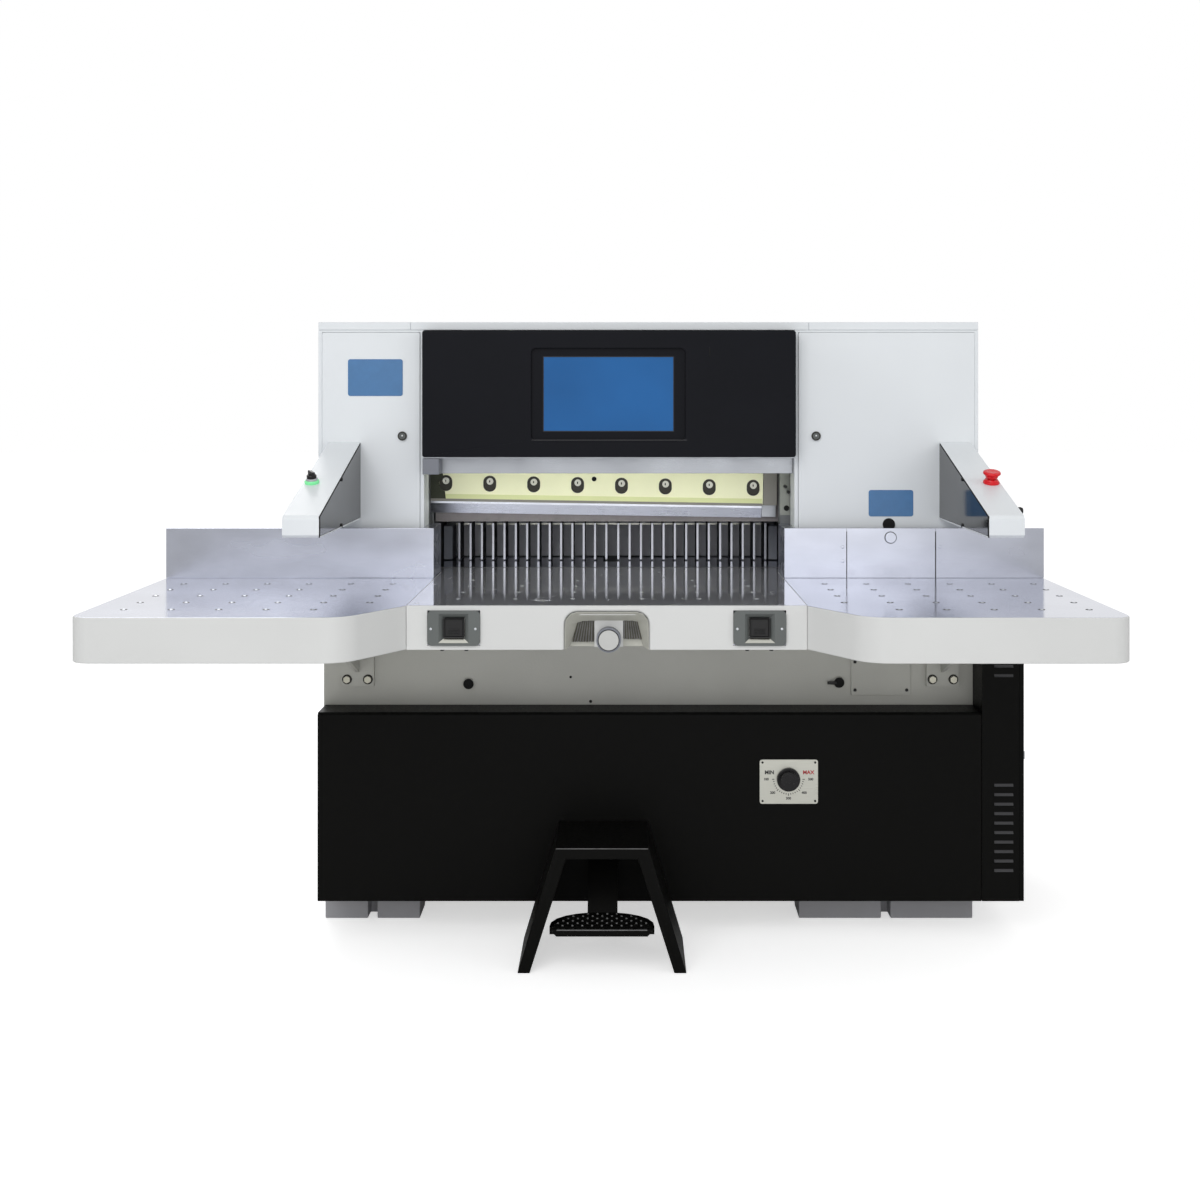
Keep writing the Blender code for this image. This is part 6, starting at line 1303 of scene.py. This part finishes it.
class CUTTER_OT_apron(Step, bpy.types.Operator):
    """The front apron with a flared arch, the ribbed grips behind it, the handwheel and the cut buttons"""

    bl_idname = "cutter.apron"
    bl_label = "Front apron"

    def build(self, context):
        apron = node_copy("front_apron")
        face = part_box("front_apron")[0][1]
        arch = at(0, 0, 0.806)

        def on_arch(point):
            return abs(point.y - face) < 0.0002 and abs(point.x - arch.x) < 0.0912 and 0.8055 < point.z < 0.8885

        def arch_edge(edge):
            points = [v.co for v in edge.verts]
            return all(on_arch(p) for p in points) and not all(abs(p.z - arch.z) < 0.0003 for p in points)

        round_edges(apron, arch_edge, 0.0062, 4)
        settled(apron, "aprons", node="front_apron")
        self.recess()
        self.wheel()
        self.buttons()

    def recess(self):
        """A funnel from the arch back to a narrower opening, and two brush curtains beside the block; the funnel
        and the back behind the brushes are the apron's enamel darkened as painted shade.
        """
        front, back, curtain = -0.5128, -0.4725, -0.4745
        rim, mouth = [], []
        for i in range(25):
            x, z, inner_x, inner_z = self.arch_point(i / 24)
            rim.append(at(x, front, z))
            mouth.append(at(inner_x, back, inner_z))
        # Painted shade: the funnel is the apron's enamel darkened as if in shade
        settled(lofted("arch_funnel", [rim, mouth], 0.0012), "funnel")
        strands, backs = [], []
        for x_top, x_low, low, count, inner in (
            (-0.0610, -0.0735, 0.8165, 15, -0.0290), (0.0645, 0.0745, 0.8225, 14, 0.0365),
        ):
            for layer, set_back in enumerate((0.0, 0.0028)):
                for i in range(count):
                    share = (i + 0.5 * layer) / (count - 1 + 0.5)
                    foot = low + 0.0016 * ((i * 7 + layer * 3) % 5) / 4
                    start = at(x_top + (inner - x_top) * share, curtain + set_back, 0.8650)
                    run = at(x_low + (inner - x_low) * share, curtain - 2 * MM + set_back, foot) - start
                    strands.append(rod(f"strand_{len(strands)}", 0.00155, run.length, start, run, 6))
        gathered("arch_brushes", strands[::2], "brush")
        gathered("arch_brush_ribs", strands[1::2], "worn_rubber")
        for name, corners_x, foot in (
            ("brush_backing", (-0.0620, -0.0280, -0.0735, -0.0280), 0.8185),
            ("brush_backing_right", (0.0355, 0.0655, 0.0355, 0.0750), 0.8245),
        ):
            points = [at(x, -0.4712, z) for x, z in zip(corners_x, (0.8640, 0.8640, foot, foot))]
            backs.append(lofted(name, [points[:2], points[2:]], 0.0008))
        gathered("arch_brush_backs", backs, "hole")
        # The back behind the brushes, in the same enamel darkened as painted shade
        lining = box("arch_back", at(-0.0880, -0.4705, 0.8065), at(0.0880, -0.4695, 0.8700))
        settled(lining, "funnel")

    def arch_point(self, share):
        """A place on the arch's edge, and the place on the inner opening that belongs to it."""
        half, radius, low, high, top = 0.0895, 0.027, 0.8062, 0.8866, 0.8616
        top_inner, low_inner = (-0.0617, 0.0653), (-0.0815, 0.0794)
        leg, corner = 0.3, 0.3
        if not leg <= share <= 1 - leg:
            side = share > 0.5
            t = min(share, 1 - share) / leg
            inner = low_inner[side] + (top_inner[side] - low_inner[side]) * t
            return half if side else -half, low + (high - radius - low) * t, inner, low + (top - low) * t
        t = (share - leg) / (1 - 2 * leg)
        inner = top_inner[0] + (top_inner[1] - top_inner[0]) * t
        if corner <= t <= 1 - corner:
            run = (t - corner) / (1 - corner * 2)
            return (half - radius) * (2 * run - 1), high, inner, top
        side = t > 0.5
        angle = math.pi / 2 * ((1 - t) / corner if side else 2 - t / corner)
        middle = half - radius if side else radius - half
        return middle + radius * math.cos(angle), high - radius + radius * math.sin(angle), inner, top

    def wheel(self):
        """The handwheel: a knurled rim, a black ring as painted shade in its groove, and a face greyed as painted
        shade.
        """
        low, high = corners("handwheel")
        centre = at(0.004, 0, 0.825)
        rim = rod("handwheel_rim", 0.0266, 0.0220, (centre.x, low.y + 0.022, centre.z))
        with picked(rim, "FACE", lambda f: abs(f.normal.y) < 0.1):
            bpy.ops.mesh.inset(thickness=0.0005, depth=-0.0005, use_individual=True)
        inset(rim, middle_face(0.0267), 0.0012, 0.0005)
        inset(rim, middle_face(0.0256), 0.0016, -0.0010)
        stem = rod("handwheel_stem", 0.006, high.y - low.y - 0.021, (centre.x, high.y, centre.z), sides=24)
        gathered("handwheel_body", [rim, stem], "arm_plate", "handwheel", "handwheel")
        # Painted shade: a black ring where the groove is
        groove = rod("handwheel_groove_shade", 0.0236, 0.0006, (centre.x, low.y + 0.0006, centre.z))
        settled(groove, "hole", "handwheel")
        # A pale face, greyed as painted shade
        face = rod("handwheel_face", 0.0216, 0.0018, (centre.x, low.y + 0.0012, centre.z))
        round_edges(face, edges_before(low.y - 0.0005), 0.0006, 2)
        settled(face, "wheel_face", "handwheel")

    def buttons(self):
        """Plate screws, a painted highlight on each dish's lower slope, and a cut button with a ribbed thumb rest.
        """
        for side in ("left", "right"):
            low, high = corners(side + "_button_plate")
            middle = (low + high) / 2
            places = [(x, low.y, middle.z - 0.001) for x in (low.x + 0.008, high.x - 0.0095)]
            screws(side + "_plate_screws", places, FRONT, 0.0030, "zinc")
            lower, upper = corners(side + "_cut_button")
            rings = []
            # Painted highlight: a bright strip on the dish's lower slope, where it catches the light
            for out, set_back, drop in ((-0.001, 0.0085, 0.0012), (0.0105, 0.0002, 0.0102)):
                y, z = low.y + set_back, lower.z - drop
                rings.append([(lower.x - out, y, z), (upper.x + out, y, z)])
            settled(lofted(side + "_dish_lip_highlight", rings, 0.0006), "plate")
            cap = box(side + "_button_cap", lower, upper)
            with picked(cap, "FACE", facing(FRONT)):
                bpy.ops.mesh.inset(thickness=0.0022, depth=-0.0006)
                bpy.ops.mesh.inset(thickness=0.0015, depth=-0.0024)
            round_edges(cap, edges_along(FRONT), 0.0018, 3)
            bars = []
            for i in range(4):
                place = Vector((middle.x, 0, lower.z + 0.0083 + i * 0.0032))
                bar = slab(f"bar_{i}", place, 0.0120, 0.0008, lower.y + 0.0010, lower.y + 0.0040)
                bars.append(soften(bar, 0.0005))
            parts = [cap, *bars]
            gathered(side + "_button_body", parts, "black_plastic", side + "_button", side + "_cut_button")
            y, z = at(0, -0.503, 0.8058).yz
            places = [(middle.x + step, y, z) for step in (-0.026, 0.026)]
            feet = [rod("plate_foot", 0.0042, 0.0035, place, (0, 0, -1), 12) for place in places]
            gathered(side + "_apron_screws", feet, "black_screw")


# The pedal's place across the machine and its pad, which is half an oval from above
PEDAL_X = -0.0145
PAD_HALF = 0.1245
PAD_DEPTH = 0.110
PAD_TOP = 0.110
STUD_PITCH = 0.0115


class CUTTER_OT_pedal(Step, bpy.types.Operator):
    """Rounded corners, rubber studs and a pale rim on the pedal's pad, and a painted highlight along the guard's
    edge
    """

    bl_idname = "cutter.pedal"
    bl_label = "Pedal"

    def build(self, context):
        centre, front = at(PEDAL_X, 0, 0).x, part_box("clamp_pedal")[0][1]
        self.studs(centre, front)

        def front_corner(edge):
            return all(v.co.y < front + MM and abs(v.co.x - centre) > PAD_HALF - 2 * MM for v in edge.verts)

        pad = node_copy("clamp_pedal")
        round_edges(pad, front_corner, 0.018, 6)
        settled(soften(pad, 0.0045, 4), "base", "pedal", "clamp_pedal")
        half = PAD_HALF * 0.85
        start = (centre - half, front + 0.0018, PAD_TOP - 0.0030)
        rim = rod("pedal_rim", 0.0022, half * 2, start, (1, 0, 0), 12)
        settled(soften(rim, 0.0008), "worn_rubber", "pedal")
        self.guard(centre)

    def studs(self, centre, front):
        """Rubber studs in staggered rows, each row as long as the pad's outline lets it be."""
        places = []
        for row in range(6):
            y = 0.014 + row * 0.0155
            reach = PAD_HALF * math.sqrt(1 - (y / PAD_DEPTH) ** 2) - 0.012
            count = int(reach // STUD_PITCH)
            for i in range(-count, count + 1):
                if (i + row) % 2 == 0:
                    places.append((centre + i * STUD_PITCH, front + y, PAD_TOP + 0.0012))
        stud = rod("stud", 0.0025, 0.0030, (0, 0, 0), UP, 10)
        round_edges(stud, edges_above(0.0028), 0.0014, 2)
        gathered("pedal_studs", repeated(stud, places), "worn_rubber", "pedal")

    def guard(self, centre):
        """A painted highlight: a bright line along the guard's upper front edge."""
        front, half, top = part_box("pedal_guard")[0][1], 0.108, 0.292
        start = (centre - half, front - 0.0002, top - 0.0016)
        end = (centre + half, front + 0.0012, top + 0.0002)
        block("guard_painted_highlight", start, end, 0.0005, "worn_rubber")


class CUTTER_OT_covers_trim(Step, bpy.types.Operator):
    """Screws, seams and small fittings on the bed, base, cabinet, head and rear"""

    bl_idname = "cutter.covers_trim"
    bl_label = "Trim"

    def build(self, context):
        self.service()
        self.brackets()
        self.head()
        self.gib()
        radius = context.scene.cutter_sizes.screw_radius
        self.base(radius)
        self.rear(radius)

    def service(self):
        """Screws of the service panel, the small valve lever and an oil hole."""
        low, high = corners("service_panel")
        places = corner_places(low, high, 0.010, 0.014)
        screws("service_screws", places, FRONT, 0.0042, "black_screw")
        block("lever", at(0.556, 0.072, 0.6140), at(0.580, 0.076, 0.6220), 0.0015, "black_screw")
        caps = []
        for x, z in ((-0.360, 0.615), (0.586, 0.6185)):
            cap = rod("plug_cap", 0.0132, 0.0012, at(x, 0.0753, z))
            inset(cap, facing(FRONT), 0.0042)
            inset(cap, middle_face(0.0095), 0.0, -0.0008)
            caps.append(cap)
        gathered("bed_plug_caps", caps, "hole")
        # Painted shade: black discs where the bed has oil holes
        holes = [rod("hole", radius, 0.0004, at(x, 0.0829, z), sides=20)
                 for x, z, radius in ((-0.0993, 0.6313, 0.0034), (-0.0484, 0.5690, 0.0040))]
        gathered("bed_oil_holes", holes, "hole")

    def brackets(self):
        """Facing plates of the table brackets, with two zinc bolts each."""
        for side, x in (("left", -0.6425), ("right", 0.850)):
            spot = at(x, 0.0730, 0.610)
            middle = spot + Vector((0, 0, 0.095))
            plate = slab(side + "_bracket_face", middle, 0.0415, 0.095, spot.y - 0.0012, spot.y - 0.0001)
            round_edges(plate, edges_along(FRONT), 0.004, 3)
            settled(plate, "bed")
            bolts, washers = [], []
            for step in (-0.0267, 0.0267):
                place = (spot.x + step, spot.y - 0.0005, spot.z + 0.0175)
                washer = rod("bolt_washer", 0.0125, 0.0022, place, sides=28)
                head = rod("bolt_head", 0.0096, 0.0078, place, sides=6)
                washers.append(soften(washer, 0.0005))
                bolts.append(soften(head, 0.0007))
            gathered(side + "_bracket_washers", washers, "washer")
            gathered(side + "_bracket_bolts", bolts, "bolt")

    def head(self):
        """The bezel's fine frame round the screen, a sensor slit, and a painted highlight along the bezel's edge.
        """
        low, high = corners("display_screen")
        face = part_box("head_panel")[0][1]
        middle, half = (low + high) / 2, (high - low) / 2
        outer = slab("screen_frame", middle, half.x + 0.0032, half.z + 0.0032, low.y - 0.0007, low.y - 0.0001)
        hole = slab("hole", middle, half.x - 0.0015, half.z - 0.0015, low.y - 0.01, low.y + 0.01)
        settled(soften(carve(outer, hole), 0.0004), "black_plastic")
        slit = at(0.2490, 0, 1.4590)
        mark = slab("head_sensor_slit", slit, 0.0012, 0.011, face - 0.0006, face + 0.0004)
        settled(soften(mark, 0.0005), "hole")
        # Painted highlight: a lighter line along the bezel's lit edge
        start, end = from_photo(531.5, 440.43, face - 0.0004), from_photo(687.0, 439.73, face - 0.0001)
        settled(box("bezel_edge_highlight", start, end), "louvre")

    def gib(self):
        """Guide block ends beside the knife beam: a pale end block, hose ends and a lubrication hole."""
        block("gib_plate", at(0.4372, 0.0993, 1.0442), at(0.4632, 0.0999, 1.1600), 0.0002, "gib")
        # Painted shade: a black disc where the guide block has its lubrication hole
        hole = rod("gib_oil_hole", 0.0072, 0.0008, at(0.4545, 0.0992, 1.062), sides=28)
        settled(hole, "hole")
        spots = ((0.4505, 1.118), (0.4580, 1.104))
        pipes = [rod("pipe", 0.0042, 0.020, at(x, 0.0995, z), sides=20) for x, z in spots]
        settled(soften(joined("gib_oil_pipes", pipes), 0.001), "black_screw")

    def base(self, radius):
        """Screws along the base cover's sides, and on the cabinet's front."""
        low = corners("base_front_cover")[0]
        places = [(low.x, low.y + 0.05, z) for z in (0.16, 0.34, 0.50)]
        screws("base_side_screws", places, (-1, 0, 0), radius, "black_screw")
        place = place_at(0.9850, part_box("cabinet_door")[0][1] - 0.0001, 0.7025)
        screws("cabinet_screws", [place], FRONT, 0.0035, "zinc")

    def rear(self, radius):
        """The bed's rear service doors with louvres, and screws round the hood and the rear covers."""
        back = corners("machine_bed")[1].y
        low, high, face = 0.150, 0.690, back + 0.0031
        panels, fins, places = [], [], []
        for left, right in ((-0.60, -0.06), (0.10, 0.72)):
            places += [(x, face, z) for x in (left + 0.02, right - 0.02) for z in (low + 0.022, high - 0.022)]
            panel = box("rear_door", (left, back + 0.0001, low), (right, face, high))
            round_edges(panel, edges_along(FRONT), 0.012, 4)
            round_edges(panel, lambda e: all(v.co.y > back + 0.003 for v in e.verts), 0.0010, 2)
            panels.append(panel)
            middle = (left + right) / 2
            for i in range(9):
                z = low + 0.060 + i * 0.022
                fin = box("fin", (middle - 0.13, back + 0.0028, z), (middle + 0.13, back + 0.0090, z + 0.011))
                for vert in fin.data.vertices:
                    if vert.co.z > z + 0.010 and vert.co.y > back + 0.008:
                        vert.co.y -= 0.0058
                fins.append(fin)
        gathered("rear_bed_doors", panels, "feet")
        gathered("rear_bed_louvres", fins, "feet")
        hood_low, hood_high = corners("rear_hood")
        rear = corners("left_tower_cover")[1].y
        along_hood = (0.25, 0.50, 0.75, 0.98)
        for name, spots, direction in (
            ("rear_door_screws", places, (0, 1, 0)),
            ("hood_left_screws", [(hood_low.x, y, 0.885) for y in along_hood], (-1, 0, 0)),
            ("hood_right_screws", [(hood_high.x, y, 0.885) for y in along_hood], (1, 0, 0)),
            ("hood_rear_screws", [(x, hood_high.y, 0.885) for x in (-0.40, -0.14, 0.16, 0.42)], (0, 1, 0)),
            (
                "tower_rear_screws",
                [(x, rear, z) for x in (-0.690, -0.480, 0.500, 0.905) for z in (0.90, 1.20, 1.49)],
                (0, 1, 0),
            ),
        ):
            screws(name, spots, direction, radius, "zinc")


class CUTTER_PT_panel(bpy.types.Panel):
    """The paper cutter's colours, sizes and pieces"""

    bl_idname = "CUTTER_PT_panel"
    bl_label = "Paper cutter"
    bl_space_type = "VIEW_3D"
    bl_region_type = "UI"
    bl_category = "Paper cutter"

    def draw(self, context):
        layout = self.layout
        for group in (context.scene.cutter_colours, context.scene.cutter_sizes):
            column = layout.column()
            for name in group.__annotations__:
                column.prop(group, name)
        for operator in OPERATORS:
            layout.operator(operator.bl_idname)


OPERATORS = (
    CUTTER_OT_stage,
    CUTTER_OT_bodywork,
    CUTTER_OT_side_tables,
    CUTTER_OT_knife_windows,
    CUTTER_OT_arms,
    CUTTER_OT_plates,
    CUTTER_OT_dial,
    CUTTER_OT_apron,
    CUTTER_OT_pedal,
    CUTTER_OT_covers_trim,
)
GROUPS = (CutterColours, CutterSizes)


def register():
    for made in (*GROUPS, *OPERATORS, CUTTER_PT_panel):
        bpy.utils.register_class(made)
    bpy.types.Scene.cutter_colours = bpy.props.PointerProperty(type=CutterColours)
    bpy.types.Scene.cutter_sizes = bpy.props.PointerProperty(type=CutterSizes)


def unregister():
    del bpy.types.Scene.cutter_sizes
    del bpy.types.Scene.cutter_colours
    for made in reversed((*GROUPS, *OPERATORS, CUTTER_PT_panel)):
        bpy.utils.unregister_class(made)


def main():
    register()
    for operator in OPERATORS:
        family, call = operator.bl_idname.split(".")
        getattr(getattr(bpy.ops, family), call)()
    deselect()


if __name__ == "__main__":
    main()
